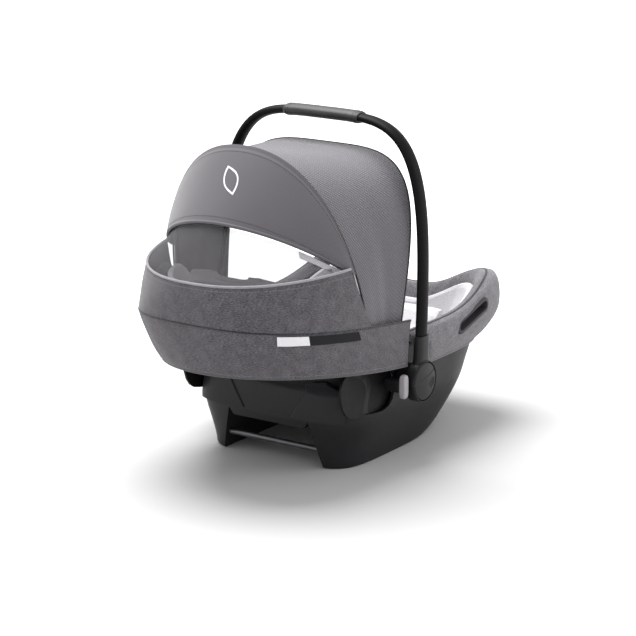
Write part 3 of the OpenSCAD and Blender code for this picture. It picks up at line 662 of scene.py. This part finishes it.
a = np.radians(np.linspace(30, 47, 40))[None, :]
t = np.linspace(0, 1, 14)[:, None]
tabArch = mix(moved(inset(visorArch, -1.5), 0, -7), moved(inset(visorArch, -9), 0, -19), t[..., None])
grid = archPoint(tabArch, a)
tab = clothSheet("windowTab", grid, 1.2, paint["tab_grey"])
finishAs(tab, "carrier", "tab_grey", "canopy_tab")
print("canopy made")

# shell

shellLook = {"around": 288, "up": 120, "grooveDepth": 1.3, "grooveWidth": 2.6, "foot": 4.0}
ring = evenAngle(np.linspace(0, 2 * np.pi, shellLook["around"], endpoint=False))


def grooveZ(a):
    # height of the moulded line under the cover, lower beside the hub
    return np.where(np.sin(a) > 0, mix(150, 196, smooth(np.sin(a) * 1.2)), 150.0)


def shellRing(share, z0, off, drop, lift=0.0):
    z = mix(z0, rimZ(ring) - drop, share) + lift
    return outline(ring, z, off)


def closedCup(name, rings, material):
    # rings joined in order, closed at both ends by a fan round a middle point
    rows, cols = len(rings), rings[0].shape[0]
    verts = np.concatenate(rings)
    ends = np.stack([rings[0].mean(0), rings[-1].mean(0)])
    faces = quads(rows, cols, wrapCols=True).tolist()
    c = np.arange(cols)
    faces += np.stack([c, np.roll(c, -1), np.full(cols, rows * cols)], 1).tolist()
    last = (rows - 1) * cols
    faces += np.stack([last + c, last + np.roll(c, -1), np.full(cols, rows * cols + 1)], 1).tolist()
    return makePiece(name, np.r_[verts, ends], faces, material)


rings = [shellRing(0, 0, shellLook["foot"] + 2, 0)]
rings += [shellRing(0, 0, 2.2, 0, 0.7), shellRing(0, 0, 0.7, 0, 2.2)]
for share in np.linspace(0.014, 0.992, shellLook["up"]):
    rows = shellRing(share, 0, 0, 0)
    depth = shellLook["grooveDepth"] * np.exp(-((rows[:, 2] - grooveZ(ring)) / shellLook["grooveWidth"]) ** 2)
    depth = depth * smooth((rows[:, 1] - 20) / 40)
    rings.append(outline(ring, rows[:, 2], depth))
rings += [shellRing(1, 0, 0.9, 0.4), shellRing(1, 0, 2, 0), shellRing(1, 0, 3.1, 0.4)]
rings += [shellRing(share, seat["floorZ"], seat["wall"], 0) for share in np.linspace(0.985, 0, 60)]
shell = closedCup("shellBody", rings, paint["shell_plastic"])

tunnel = seat["tunnelW"] / 2


def tunnelOutline(grow, radius=0):
    flare, top = seat["tunnelFlare"], seat["tunnelH"] + grow
    wide = tunnel + grow
    p = [[-wide - flare, -2], [-wide, top], [wide, top], [wide + flare, -2]]
    if not radius:
        return p
    lean = flare / top
    arc = np.linspace(0, np.pi / 2, 8)
    left = np.c_[-wide + radius * (1 - np.sin(arc)) - lean * radius * (1 - np.sin(arc)),
                 top - radius * (1 - np.cos(arc[::-1]))]
    left = left[np.argsort(left[:, 0])]
    right = left[::-1] * [-1, 1]
    return np.r_[[p[0]], left, right, [p[3]]]


hollowLevels = (-1.0, 4.0, 20.0, 40.0, 60.0, 76.0)
hollowRings = [outline(ring, np.full(len(ring), z), seat["wall"]) for z in hollowLevels]
hollow = closedCup("hollow", hollowRings, blank)
hollow = cutAway(hollow, prism("tunnelWall", tunnelOutline(seat["wall"]), -400, 400, "y"))
socketLine = rounded([[-165, 178], [-156, 108], [-100, 94], [-22, 92], [-22, 178]], 2)
slot = {"half": 38, "radius": 11.4, "at": [195, 203], "turn": math.radians(16)}
t = np.linspace(0, np.pi, 16)
bulgeOut, bulgeUp = slot["half"] + slot["radius"] * np.sin(t), slot["radius"] * np.cos(t)
slotLine = np.c_[np.r_[bulgeOut, -bulgeOut], np.r_[bulgeUp, -bulgeUp]]


def slotPlace(p, grow=0.0):
    # the belt slot's outline, grown and turned into place in the side of the wing
    r = np.array(p, float)
    r = r + unit(r - np.c_[np.clip(r[:, 0], -slot["half"], slot["half"]), 0 * r[:, 0]]) * grow
    c, s = math.cos(slot["turn"]), math.sin(slot["turn"])
    return r @ np.array([[c, s], [-s, c]]) + slot["at"]


cutters = [prism("tunnelCut", tunnelOutline(0, 12), -400, 400, "y"), hollow]
for s in (1, -1):
    cutters.append(prism("socketCut", socketLine, s * 160, s * 210))
    cutters.append(prism("slotCut", slotPlace(slotLine), s * 100, s * 260))
cutAway(shell, *cutters)
shell.data.materials.append(paint["shell_plastic"])
finishAs(shell, "carrier", "shell_plastic", "shell")
# the socket backs take the darker plastic, which paints in the shade of the recess
backing = rounded([[-169, 182], [-160, 104], [-100, 90], [-18, 88], [-18, 182]], 2)
for s, tag in ((1, "R"), (-1, "L")):
    panelBack = prism("socketBackShaded" + tag, backing, s * 156, s * 159.9)
    panelBack.data.materials.clear()
    panelBack.data.materials.append(paint["recess_shade_plastic"])
    finishAs(panelBack, "carrier", "shell_plastic")

# belt fins at the rear corners: the free edge is a rounded lip over a dark gap
fin = {"thick": 5.0, "gap": 1.2, "lip": 2.5}
for s, tag in ((1, "r"), (-1, "l")):
    z = np.linspace(84, 160, 48)[:, None]
    xIn = 46 + 48 * ((z - 80) / 78) + 8 * smooth((z - 140) / 20)
    n = mix(4.6, 2.42, smooth((z - 60) / 150))
    aIn = -np.arccos(np.clip(xIn / halfWidth(z), 0, 1) ** (n / 2))
    a = mix(aIn, -math.radians(48), np.linspace(0, 1, 56)[None, :])
    out = outline(a, z, -fin["gap"] - fin["thick"] * smooth(np.linspace(0.3, 1.3, 56))[None, :])
    flip = np.array([s, 1, 1])
    finPiece = clothSheet("beltFin" + tag.upper(), out * flip, fin["thick"], paint["shell_plastic"])
    finishAs(finPiece, "carrier", "shell_plastic", "belt_fin_" + tag)
    lipPath = (out[:, 0] + outward(out)[:, 0] * -fin["lip"]) * flip
    cord("finLip" + tag.upper(), lipPath, fin["lip"], "shell_plastic", "carrier", "shell_plastic")
print("shell made")

# padded cover over the foot half of the rim

cover = {"around": 300, "profile": 60, "gap": 2.0, "puff": 1.6, "seam": 1.6, "seamAt": 0.68, "slotGrow": 1.0,
         "margin": 7.2}


def coverLow(y):
    return mix(seat["rimHub"] - 4, 146, smooth((y - 45) / 45))


def coverPoint(a, off, z, push):
    p = outline(a, z, off)
    return p + np.stack([0 * a, push * smooth((np.sin(a) - 0.25) / 0.6), 0 * a], -1)


wing = evenAngle(np.linspace(-0.1, np.pi + 0.1, cover["around"]), 5.0)
z0, z1 = coverLow(outline(wing, np.full(len(wing), 200.0), 0)[:, 1]), rimZ(wing)
# the cover bulges until its middle reaches coverReach, less the margin that its profile adds
middle = mix(146.0, seat["rimFoot"] - seat["rimDip"], 0.45)
bulge = seat["coverReach"] - cover["margin"] - float(footY(middle + 3.5))
g, w = cover["gap"], seat["wall"]
outerPoints = [coverPoint(wing, -3, z0, 0), coverPoint(wing, -5, mix(z0, z1, 0.12), bulge * 0.75),
               coverPoint(wing, -5, mix(z0, z1, 0.45), bulge),
               coverPoint(wing, -5, mix(z0, z1, 0.85), bulge * 0.8),
               coverPoint(wing, -4, z1 + 12, bulge * 0.35), coverPoint(wing, 6, z1 + 19, 0),
               coverPoint(wing, 15, z1 + 12, 0), coverPoint(wing, 16, z1 - 20, 0)]
innerPoints = [coverPoint(wing, -g, z0, 0), coverPoint(wing, -g, mix(z0, z1, 0.12), 0),
               coverPoint(wing, -g, mix(z0, z1, 0.45), 0), coverPoint(wing, -g, mix(z0, z1, 0.85), 0),
               coverPoint(wing, -g, z1 + 1, 0), coverPoint(wing, 0, z1 + 3, 0),
               coverPoint(wing, w + g, z1 + 1, 0), coverPoint(wing, w + g + 1, z1 - 20, 0)]
grid = catmull(np.stack(outerPoints, 1), cover["profile"])
inner = catmull(np.stack(innerPoints, 1), cover["profile"])
t = np.linspace(0, 1, cover["profile"])[None, :]
i = np.linspace(-1, 1, cover["around"])[:, None]
away = outward(grid)
ends = smooth((1 - np.abs(i)) / 0.06)
wrinkle = 0.7 + 0.5 * ripple(i * 600, t * 120, 31, 190)
push = cover["puff"] * np.sin(np.pi * np.clip(t / 0.66, 0, 1)) * wrinkle
push = (push - cover["seam"] * np.exp(-((t - cover["seamAt"]) / 0.012) ** 2)) * ends
corner = np.exp(-((np.abs(i) - 0.44) / 0.008) ** 2)
push = push - 1.5 * corner * smooth((0.66 - t) / 0.05) * ends
grid = grid + away * push[..., None]
coverPiece = clothSheet("footCover", grid, 0, paint["melange_cover"], inner=inner, crease=50)
coverSlot = slotPlace(slotLine, cover["slotGrow"])
cutAway(coverPiece, *[prism("coverSlot", coverSlot, s * 100, s * 260) for s in (1, -1)], crease=50)
coverPiece.data.materials.append(paint["melange_cover"])
finishAs(coverPiece, "carrier", "melange_cover", "seat_cover")
seamRow = round(cover["seamAt"] * (cover["profile"] - 1))
seamPath = spaced(grid[4:-4, seamRow] + away[4:-4, seamRow] * 0.8, 300)
cord("coverPiping", seamPath, 1.7, "piping_dark", "carrier", "melange_cover")
for name, row in (("coverStitchOut", seamRow - 5), ("coverStitchIn", seamRow + 5)):
    stitch = stitchRow(name, grid[4:-4, row], away[4:-4, row], paint["thread"], 4.8, 3.2, 0.4)
    finishAs(stitch, "carrier", "melange_cover")
cord("coverHem", spaced(grid[4:-4, 0], 260), 2.0, "melange_cover", "carrier", "melange_cover")

# belt guides: a flanged ring set into each slot
for s, tag in ((1, "r"), (-1, "l")):
    line = slotPlace(rounded(slotLine, 1), -2.0)
    face = halfWidth(200.0) + 1.4
    # how far out of the slot's face and how far out from its edge the ring's section runs
    profile = np.array([[-20, 0], [-20, -2.2], [1.8, -2.6], [3.4, -1.4],
                        [3.6, 1.2], [2.4, 4.2], [0.8, 4.6], [0.4, 1.4]])
    centre = line.mean(0)
    along = np.array([math.cos(slot["turn"]), math.sin(slot["turn"])])
    near = centre + np.clip((line - centre) @ along, -slot["half"], slot["half"])[:, None] * along
    direction = unit(line - near)
    rings = np.stack([np.c_[np.full(len(line), face + dx), line + direction * dr] for dx, dr in profile])
    faces = quads(len(profile), len(line), wrapRows=True, wrapCols=True)
    guide = makePiece("beltGuide" + tag.upper(), rings, faces, paint["guide_plastic"], mirror=s < 0)
    finishAs(guide, "carrier", "guide_plastic", "belt_guide_" + tag)
print("cover made")

# liner: a quilted tub inside the shell

liner = {"in": 18.0, "thick": 8.0, "z": 100.0, "quilt": 1.4}
around = 280
a = evenAngle(np.linspace(0, 2 * np.pi, around, endpoint=False))
rings = []
for share in np.linspace(0, 1, 50):
    z = mix(liner["z"], rimZ(a) - 6, share)
    rings.append(outline(a, z, liner["in"]))
top = rimZ(a) - 6
rings += [outline(a, top + up, liner["in"] + off) for up, off in ((1.6, 2), (2.2, 4), (1.4, 6.5))]
panels = np.abs(np.sin(np.arange(around) / around * np.pi * 18)) ** 0.5
for share in np.linspace(1, 0, 90):
    z = mix(liner["z"] + liner["thick"], top, share)
    swell = liner["quilt"] * panels * smooth(share / 0.1)
    swell = swell * smooth((1 - share) / 0.05) - 1.2 * np.exp(-((share - 0.55) / 0.012) ** 2)
    rings.append(outline(a, z, liner["in"] + liner["thick"] + swell))
linerPiece = closedCup("seatLiner", rings, paint["liner_fabric"])
finishAs(linerPiece, "carrier", "liner_fabric", "seat_liner")

# stuffed pads: cloth blown up from a slightly shrunken copy of the CAD solid


def stuffedPad(name, node, material, slot, cell=5.0, pressure=4.0, cap=6.0, shrink=1.5):
    source = frame["nodes"][node]
    mesh = source.data.copy()
    bm = bmesh.new()
    bm.from_mesh(mesh)
    bmesh.ops.remove_doubles(bm, verts=bm.verts, dist=1e-5)
    bm.to_mesh(mesh)
    bm.free()
    pad = bpy.data.objects.new(name, mesh)
    bpy.context.scene.collection.objects.link(pad)
    mod = pad.modifiers.new("cells", "REMESH")
    mod.mode, mod.voxel_size = "VOXEL", cell * mm
    shrunk = pad.modifiers.new("shrink", "DISPLACE")
    shrunk.strength, shrunk.mid_level = -shrink * mm, 0.0
    bpy.context.view_layer.update()
    pad.data = bpy.data.meshes.new_from_object(pad.evaluated_get(bpy.context.evaluated_depsgraph_get()))
    pad.modifiers.clear()
    count = len(pad.data.vertices)
    start = np.zeros(count * 3)
    pad.data.vertices.foreach_get("co", start)
    cloth = pad.modifiers.new("cloth", "CLOTH")
    cloth.settings.use_pressure = True
    cloth.settings.uniform_pressure_force = pressure
    cloth.settings.effector_weights.gravity = 0.0
    cloth.settings.quality = 4
    for step in range(1, 21):
        bpy.context.scene.frame_set(step)
    blown = bpy.data.meshes.new_from_object(pad.evaluated_get(bpy.context.evaluated_depsgraph_get()))
    end = np.zeros(count * 3)
    blown.vertices.foreach_get("co", end)
    shift = (end - start).reshape(-1, 3)
    reach = np.linalg.norm(shift, axis=1, keepdims=True)
    shift *= np.minimum(1, cap * mm / np.maximum(reach, 1e-9))
    pad.modifiers.clear()
    pad.data.vertices.foreach_set("co", (start.reshape(-1, 3) + shift).ravel())
    bpy.data.meshes.remove(blown)
    bpy.context.scene.frame_set(1)
    soft = pad.modifiers.new("soft", "SUBSURF")
    soft.levels = soft.render_levels = 1
    bpy.context.view_layer.update()
    pad.data = bpy.data.meshes.new_from_object(pad.evaluated_get(bpy.context.evaluated_depsgraph_get()))
    pad.modifiers.clear()
    pad.data.shade_smooth()
    pad.data.materials.clear()
    pad.data.materials.append(material)
    print("pad", name, len(pad.data.polygons))
    return finishAs(pad, "carrier", slot, node)


stuffedPad("seatPad", "seat_pad", paint["pad_fabric"], "pad_fabric", 6.0, cap=4.0, shrink=2.5)
stuffedPad("headPad", "head_pad", paint["pad_fabric"], "pad_fabric", 5.0, cap=4.0, shrink=2.0)
stuffedPad("shoulderPadR", "shoulder_pad_r", paint["harness_pad"], "harness_pad", 4.0, cap=3.0, shrink=1.0)
stuffedPad("shoulderPadL", "shoulder_pad_l", paint["harness_pad"], "harness_pad", 4.0, cap=3.0, shrink=1.0)
stuffedPad("crotchPad", "crotch_pad", paint["harness_pad"], "harness_pad", 4.0, cap=3.0, shrink=1.0)


padZ = 136.0
backTurn = math.atan2(158, 260)


def backPoint(x, d, h):
    # d up the backrest from its foot and h out of its middle
    c, s = math.cos(backTurn), math.sin(backTurn)
    return np.stack(np.broadcast_arrays(x, -12 - d * c + h * s, padZ + 24 + d * s + h * c), -1)


def webbing(name, path, node, wide=25.0, thick=1.5):
    # a strip centred on a path: ribbed across its width, with rolled selvedges
    normal = unit(np.cross(np.array([1.0, 0, 0]), np.gradient(path, axis=0)))
    normal = normal * np.sign(normal[:, 2:].sum())
    u = np.linspace(-1, 1, 27)[None, :]
    rib = 0.12 * np.cos(u * np.pi * 7) - 0.4 * np.abs(u) ** 10
    across, lift = np.array([wide / 2, 0, 0]) * u[..., None], (thick + rib)[..., None]
    grid = path[:, None] + across + normal[:, None] * lift
    piece = clothSheet(name, grid, thick, paint["webbing"])
    return finishAs(piece, "carrier", "webbing", node)


strapAt = {"x": 34.0, "h": 11.0, "from": 24.0, "to": 174.0}
d = np.linspace(strapAt["from"], strapAt["to"], 70)
webbing("shoulderStrapR", backPoint(strapAt["x"], d, strapAt["h"]), "shoulder_strap_r")
webbing("shoulderStrapL", backPoint(-strapAt["x"], d, strapAt["h"]), "shoulder_strap_l")
seatLine = np.array([[0, 30, padZ + 4], [0, 70, padZ], [0, 130, padZ + 4]], float)
path = catmull(seatLine, 60)
normal = unit(np.cross(np.array([1.0, 0, 0]), np.gradient(path, axis=0)))
webbing("crotchStrap", path + normal * 11.2, "crotch_strap")
run = np.linspace(0.1, 1, 30)[:, None]
path = np.array([0, 180, padZ + 24]) * (1 - run) + np.array([0, 212, padZ + 70]) * run
normal = np.array([0, -46, 32]) / 56.0
webbing("adjustStrap", path + normal * 11.1, "adjust_strap")
print("seat soft goods made")

# handle

handle = {"w": 409.0, "top": 561.0, "c": 146.0, "n": 4.15, "lean": 0.05, "tubeW": 28.0, "tubeT": 15.0,
          "gripL": 148.0, "sleeveTop": 76.0}
rise = handle["top"] - handle["c"]
handlePlane = unit(np.array([0, 1, -handle["lean"]]))


def bowPath(a):
    # superellipse arch in a plane that leans a little to the foot end
    z = handle["c"] + rise * np.abs(np.sin(a)) ** (2 / handle["n"])
    x = handle["w"] / 2 * spow(np.cos(a), 2 / handle["n"])
    return np.stack([x, handle["lean"] * (z - seat["hubZ"]), z], -1)


a0 = math.asin(((seat["hubZ"] + handle["sleeveTop"] - 2 - handle["c"]) / rise) ** (handle["n"] / 2))
path = spaced(bowPath(np.linspace(a0, math.pi - a0, 4000)), 260)
halfW, halfT = handle["tubeW"] / 2, handle["tubeT"] / 2
bow = tube("handleBow", path, halfW, halfT, paint["handle_metal"], 40, handlePlane)
finishAs(bow, "handle", "handle_metal", "handle_bow")

g0 = math.acos((handle["gripL"] / handle["w"]) ** (handle["n"] / 2))
path = spaced(bowPath(np.linspace(g0, math.pi - g0, 4000)), 150)
s = np.linspace(-1, 1, 150)
swell = 1 - 0.5 * np.abs(s) ** 40 + 0.02 * ripple(s * 70, 0 * s, 3, 40)
groove = 1 - 0.03 * (np.abs(np.abs(s) - 0.9) < 0.012)
wide, deep = (halfW + 3.2 * swell) * groove, (halfT + 2.8 * swell) * groove
gripThread = {"material": paint["thread_dark"], "pitch": 3.6, "length": 2.4, "radius": 0.45}
grip = tube("handGrip", path, wide, deep, paint["grip_leather"], 56, handlePlane)
finishAs(grip, "handle", "grip_leather", "handle_grip")
d = unit(np.gradient(path, axis=0))
q = unit(np.cross(d, handlePlane))
p = unit(np.cross(q, d))
q = q * np.sign(np.sum(q * (path - np.array([0, 0, 300])), 1))[:, None]
for tag, at in (("A", 5), ("B", 144), ("C", 10), ("D", 139)):
    a = np.linspace(0, 2 * np.pi, 80)[:, None]
    loopPath = path[at] + p[at] * np.cos(a) * (wide[at] + 0.15) + q[at] * np.sin(a) * (deep[at] + 0.15)
    stitch = stitchRow("gripStitch" + tag, loopPath, loopPath - path[at], **gripThread)
    finishAs(stitch, "handle", "grip_leather")
lower = path - q * (deep[:, None] * 0.45) - p * (wide[:, None] * 0.9)
stitch = stitchRow("gripSeamStitch", lower[6:-6], lower[6:-6] - path[6:-6], **gripThread)
finishAs(stitch, "handle", "grip_leather")

hub = {"x1": 196.6, "x2": 216.2, "cap": 32.3, "floor": 210.6, "capLow": 213.9, "dome": 3.4}
for s, tag in ((1, "r"), (-1, "l")):
    # sleeve: rounded sections that widen from the tube down into the hub
    h = np.linspace(-6, handle["sleeveTop"], 60)
    wy = halfW + 2.2 + 13.5 * (1 - smooth(h / 44))
    tx = 8.9 + 0 * h - 0.8 * smooth((h - 68) / 8)
    a = evenAngle(np.linspace(0, 2 * np.pi, 64, endpoint=False), 3.0)
    e = 2 / 2.8
    rings = np.stack([np.c_[205.6 + t1 * spow(np.cos(a), e), handle["lean"] * h1 + w1 * spow(np.sin(a), e),
                            np.full(64, seat["hubZ"] + h1)] for h1, w1, t1 in zip(h, wy, tx)])
    sleeve = makePiece("handleSleeve" + tag.upper(), rings, cappedFaces(60, 64), paint["hub_plastic"],
                       mirror=s < 0)
    finishAs(sleeve, "handle", "hub_plastic", "handle_end_" + tag)
    # hub disc: a turned profile with a round rim and a recess for the button
    inSide, outSide, recess = hub["x1"], hub["x2"], hub["floor"]
    turned = np.array([[9.2, inSide], [33, inSide], [34.6, inSide + 0.8], [35, inSide + 2.4],
                       [35, outSide - 2.6], [34.6, outSide - 0.9], [33.8, outSide], [33, outSide - 0.3],
                       [32.8, outSide - 1.2], [32.8, recess], [9.2, recess]])
    a = np.linspace(0, 2 * np.pi, 144, endpoint=False)
    rings = np.stack([np.c_[np.full(144, x), r * np.cos(a), seat["hubZ"] + r * np.sin(a)] for r, x in turned])
    faces = quads(len(turned), 144, wrapRows=True, wrapCols=True)
    disc = makePiece("hubDisc" + tag.upper(), rings, faces, paint["hub_plastic"], mirror=s < 0)
    finishAs(disc, "handle", "hub_plastic")
    # button: a low dome with a crease across it and a ribbed finger scoop
    r = np.linspace(0.2, hub["cap"], 90)[:, None]
    a = np.linspace(0, 2 * np.pi, 200, endpoint=False)[None, :]
    y, z = r * np.cos(a), r * np.sin(a)
    rim = 1.6 * smooth((r - hub["cap"] + 2) / 2) ** 2
    dome = hub["x2"] - 0.6 + hub["dome"] * (1 - (r / hub["cap"]) ** 2) - rim
    crease = y * math.sin(math.radians(-16)) + z * math.cos(math.radians(-16)) - 8
    dome = dome - 1.0 * np.exp(-(crease / 0.9) ** 2)
    v, w = (y * math.cos(0.7) + z * math.sin(0.7)), (-y * math.sin(0.7) + z * math.cos(0.7))
    scoop = smooth(1.25 - ((v - 9) / 12) ** 2 - ((w + 15) / 8) ** 2)
    dome = dome - scoop * (1.6 + 0.45 * np.cos(v * 2 * np.pi / 3.6))
    top = np.stack(np.broadcast_arrays(dome, y, z + seat["hubZ"]), -1)
    under = top[::-1].copy()
    under[..., 0] = hub["capLow"]
    rings = np.concatenate([top, under])
    faces = cappedFaces(len(rings), 200)
    button = makePiece("hubButton" + tag.upper(), rings, faces, paint["hub_plastic"], mirror=s < 0)
    finishAs(button, "handle_button_" + tag, "hub_plastic", "handle_button_" + tag)
    # release lever beside the hub
    leverBody = "adapter_lever_" + tag
    lever = roundBlock("releaseLever" + tag.upper(), (204, -47, seat["hubZ"]), (6, 7, 20),
                       paint["lever_grey"], 4.5, mirror=s < 0)
    finishAs(lever, leverBody, "lever_grey", leverBody)
    stem = roundBlock("leverStem" + tag.upper(), (183, -47, seat["hubZ"]), (17, 5, 11),
                      paint["hub_plastic"], 6, mirror=s < 0)
    finishAs(stem, leverBody, "hub_plastic")
print("handle made")

# motif: a plain leaf outline, printed on the visor
motif = {"half": 13.0, "tall": 27.0, "line": 2.4, "row": 0.46, "turn": 0.5}
t = np.linspace(0, 2 * np.pi, 160, endpoint=False)
centreRow = motif["row"] * (visorGrid.shape[0] - 1)


def onVisor(x, y, lift):
    # a flat shape laid on the visor: x runs across it and y down it, in mm from the motif's middle
    mid = visorGrid[:, visorGrid.shape[1] // 2 + 6]
    stepDown = np.linalg.norm(np.diff(mid, axis=0), axis=1).mean()
    stepSide = np.linalg.norm(np.diff(visorGrid[round(centreRow)], axis=0), axis=1)
    stepSide = stepSide[visorGrid.shape[1] // 2 - 20:visorGrid.shape[1] // 2 + 20].mean()
    r = centreRow + y / stepDown
    c = visorGrid.shape[1] / 2 - 0.5 + x / stepSide
    r0, c0 = np.floor(r).astype(int), np.floor(c).astype(int)
    fr, fc = (r - r0)[..., None], (c - c0)[..., None]
    base = mix(mix(visorGrid[r0, c0], visorGrid[r0, c0 + 1], fc),
               mix(visorGrid[r0 + 1, c0], visorGrid[r0 + 1, c0 + 1], fc), fr)
    n = outward(visorGrid)
    return base + n[r0, c0] * lift


def leafLine(grow):
    # two arcs that meet in points: half width times sin(t) squared beside the height times cos(t)
    x = (motif["half"] + grow) * np.sign(np.sin(t)) * np.sin(t) ** 2
    y = (motif["tall"] + grow * 2) * np.cos(t)
    c, s = math.cos(motif["turn"]), math.sin(motif["turn"])
    return x * c - y * s, x * s + y * c


loops = [onVisor(*leafLine(grow), lift) for grow, lift in
         ((0, 0.1), (0, 0.5), (-motif["line"], 0.5), (-motif["line"], 0.1))]
faces = quads(4, 160, wrapRows=True, wrapCols=True)
leaf = makePiece("visorMotif", np.concatenate(loops), faces, paint["motif"])
finishAs(leaf, "carrier", "visor_cloth")

# floor, light and camera

stage = {"floor": "#b4b4b4", "key": 190.0, "keySize": 2.2, "keyAt": (-0.9, 0.2, 3.1), "side": 26.0,
         "sideAt": (2.6, 1.6, 1.4), "lens": 134.3, "aim": (0.00145, 0.0015, 0.21325), "back": 3.9994,
         "azimuth": 34.624, "elevation": 14.996, "fadeFrom": 0.4, "fadeTo": 1.25}
floorValues = {"Roughness": 0.9, "Specular IOR Level": 0.1}
floorMaterial, tree, shader = startMaterial("matt white paper sweep with painted glow", floorValues)
where = addNode(tree, "ShaderNodeTexCoord").outputs["Object"]
paperNoise = addNode(tree, "ShaderNodeTexNoise", values={"Scale": 3.0}, links={"Vector": where})
ramp = addNode(tree, "ShaderNodeValToRGB", links={"Fac": paperNoise.outputs[0]})
rampStops(ramp, [(0.3, stage["floor"]), (0.7, "#b6b6b6")])
tree.links.new(ramp.outputs[0], shader.inputs["Base Color"])
# painted light: the paper's own glow rises with distance from the middle, so it fades to white
reach = addNode(tree, "ShaderNodeVectorMath", {"operation": "LENGTH"}, links={0: where})
paintedGlow = addNode(tree, "ShaderNodeMapRange", {"interpolation_type": "SMOOTHSTEP"},
               {"From Min": stage["fadeFrom"], "From Max": stage["fadeTo"], "To Max": 1.0},
               {"Value": reach.outputs["Value"]})
shader.inputs["Emission Color"].default_value = (1, 1, 1, 1)
tree.links.new(paintedGlow.outputs[0], shader.inputs["Emission Strength"])
mesh = bpy.data.meshes.new("studioFloor")
mesh.from_pydata([(-30, -30, 0), (30, -30, 0), (30, 30, 0), (-30, 30, 0)], [], [(0, 1, 2, 3)])
mesh.materials.append(floorMaterial)
floor = bpy.data.objects.new("studioFloor", mesh)
bpy.context.scene.collection.objects.link(floor)

world = bpy.data.worlds.new("studio")
bpy.context.scene.world = world
world.use_nodes = True
world.node_tree.nodes["Background"].inputs[0].default_value = (1, 1, 1, 1)
world.node_tree.nodes["Background"].inputs[1].default_value = 1.0


def areaLight(name, at, target, power, size):
    light = bpy.data.lights.new(name, "AREA")
    light.energy, light.shape, light.size = power, "DISK", size
    lamp = bpy.data.objects.new(name, light)
    bpy.context.scene.collection.objects.link(lamp)
    lamp.location = at
    lamp.rotation_euler = (Vector(target) - Vector(at)).to_track_quat("-Z", "Y").to_euler()


areaLight("keyLight", stage["keyAt"], (0, 0, 0.2), stage["key"], stage["keySize"])
areaLight("sideLight", stage["sideAt"], (0, 0.1, 0.2), stage["side"], 1.6)

bpy.context.scene.view_settings.view_transform = "Standard"
a, e = math.radians(stage["azimuth"]), math.radians(stage["elevation"])
back = Vector((math.sin(a) * math.cos(e), -math.cos(a) * math.cos(e), math.sin(e)))
camera = bpy.data.objects.new("camera", bpy.data.cameras.new("camera"))
bpy.context.scene.collection.objects.link(camera)
camera.data.lens, camera.data.sensor_width = stage["lens"], 36.0
camera.data.clip_start, camera.data.clip_end = 0.1, 100.0
camera.location = Vector(stage["aim"]) + back * stage["back"]
camera.rotation_euler = (-back).to_track_quat("-Z", "Y").to_euler()
bpy.context.scene.camera = camera
print("stage made")
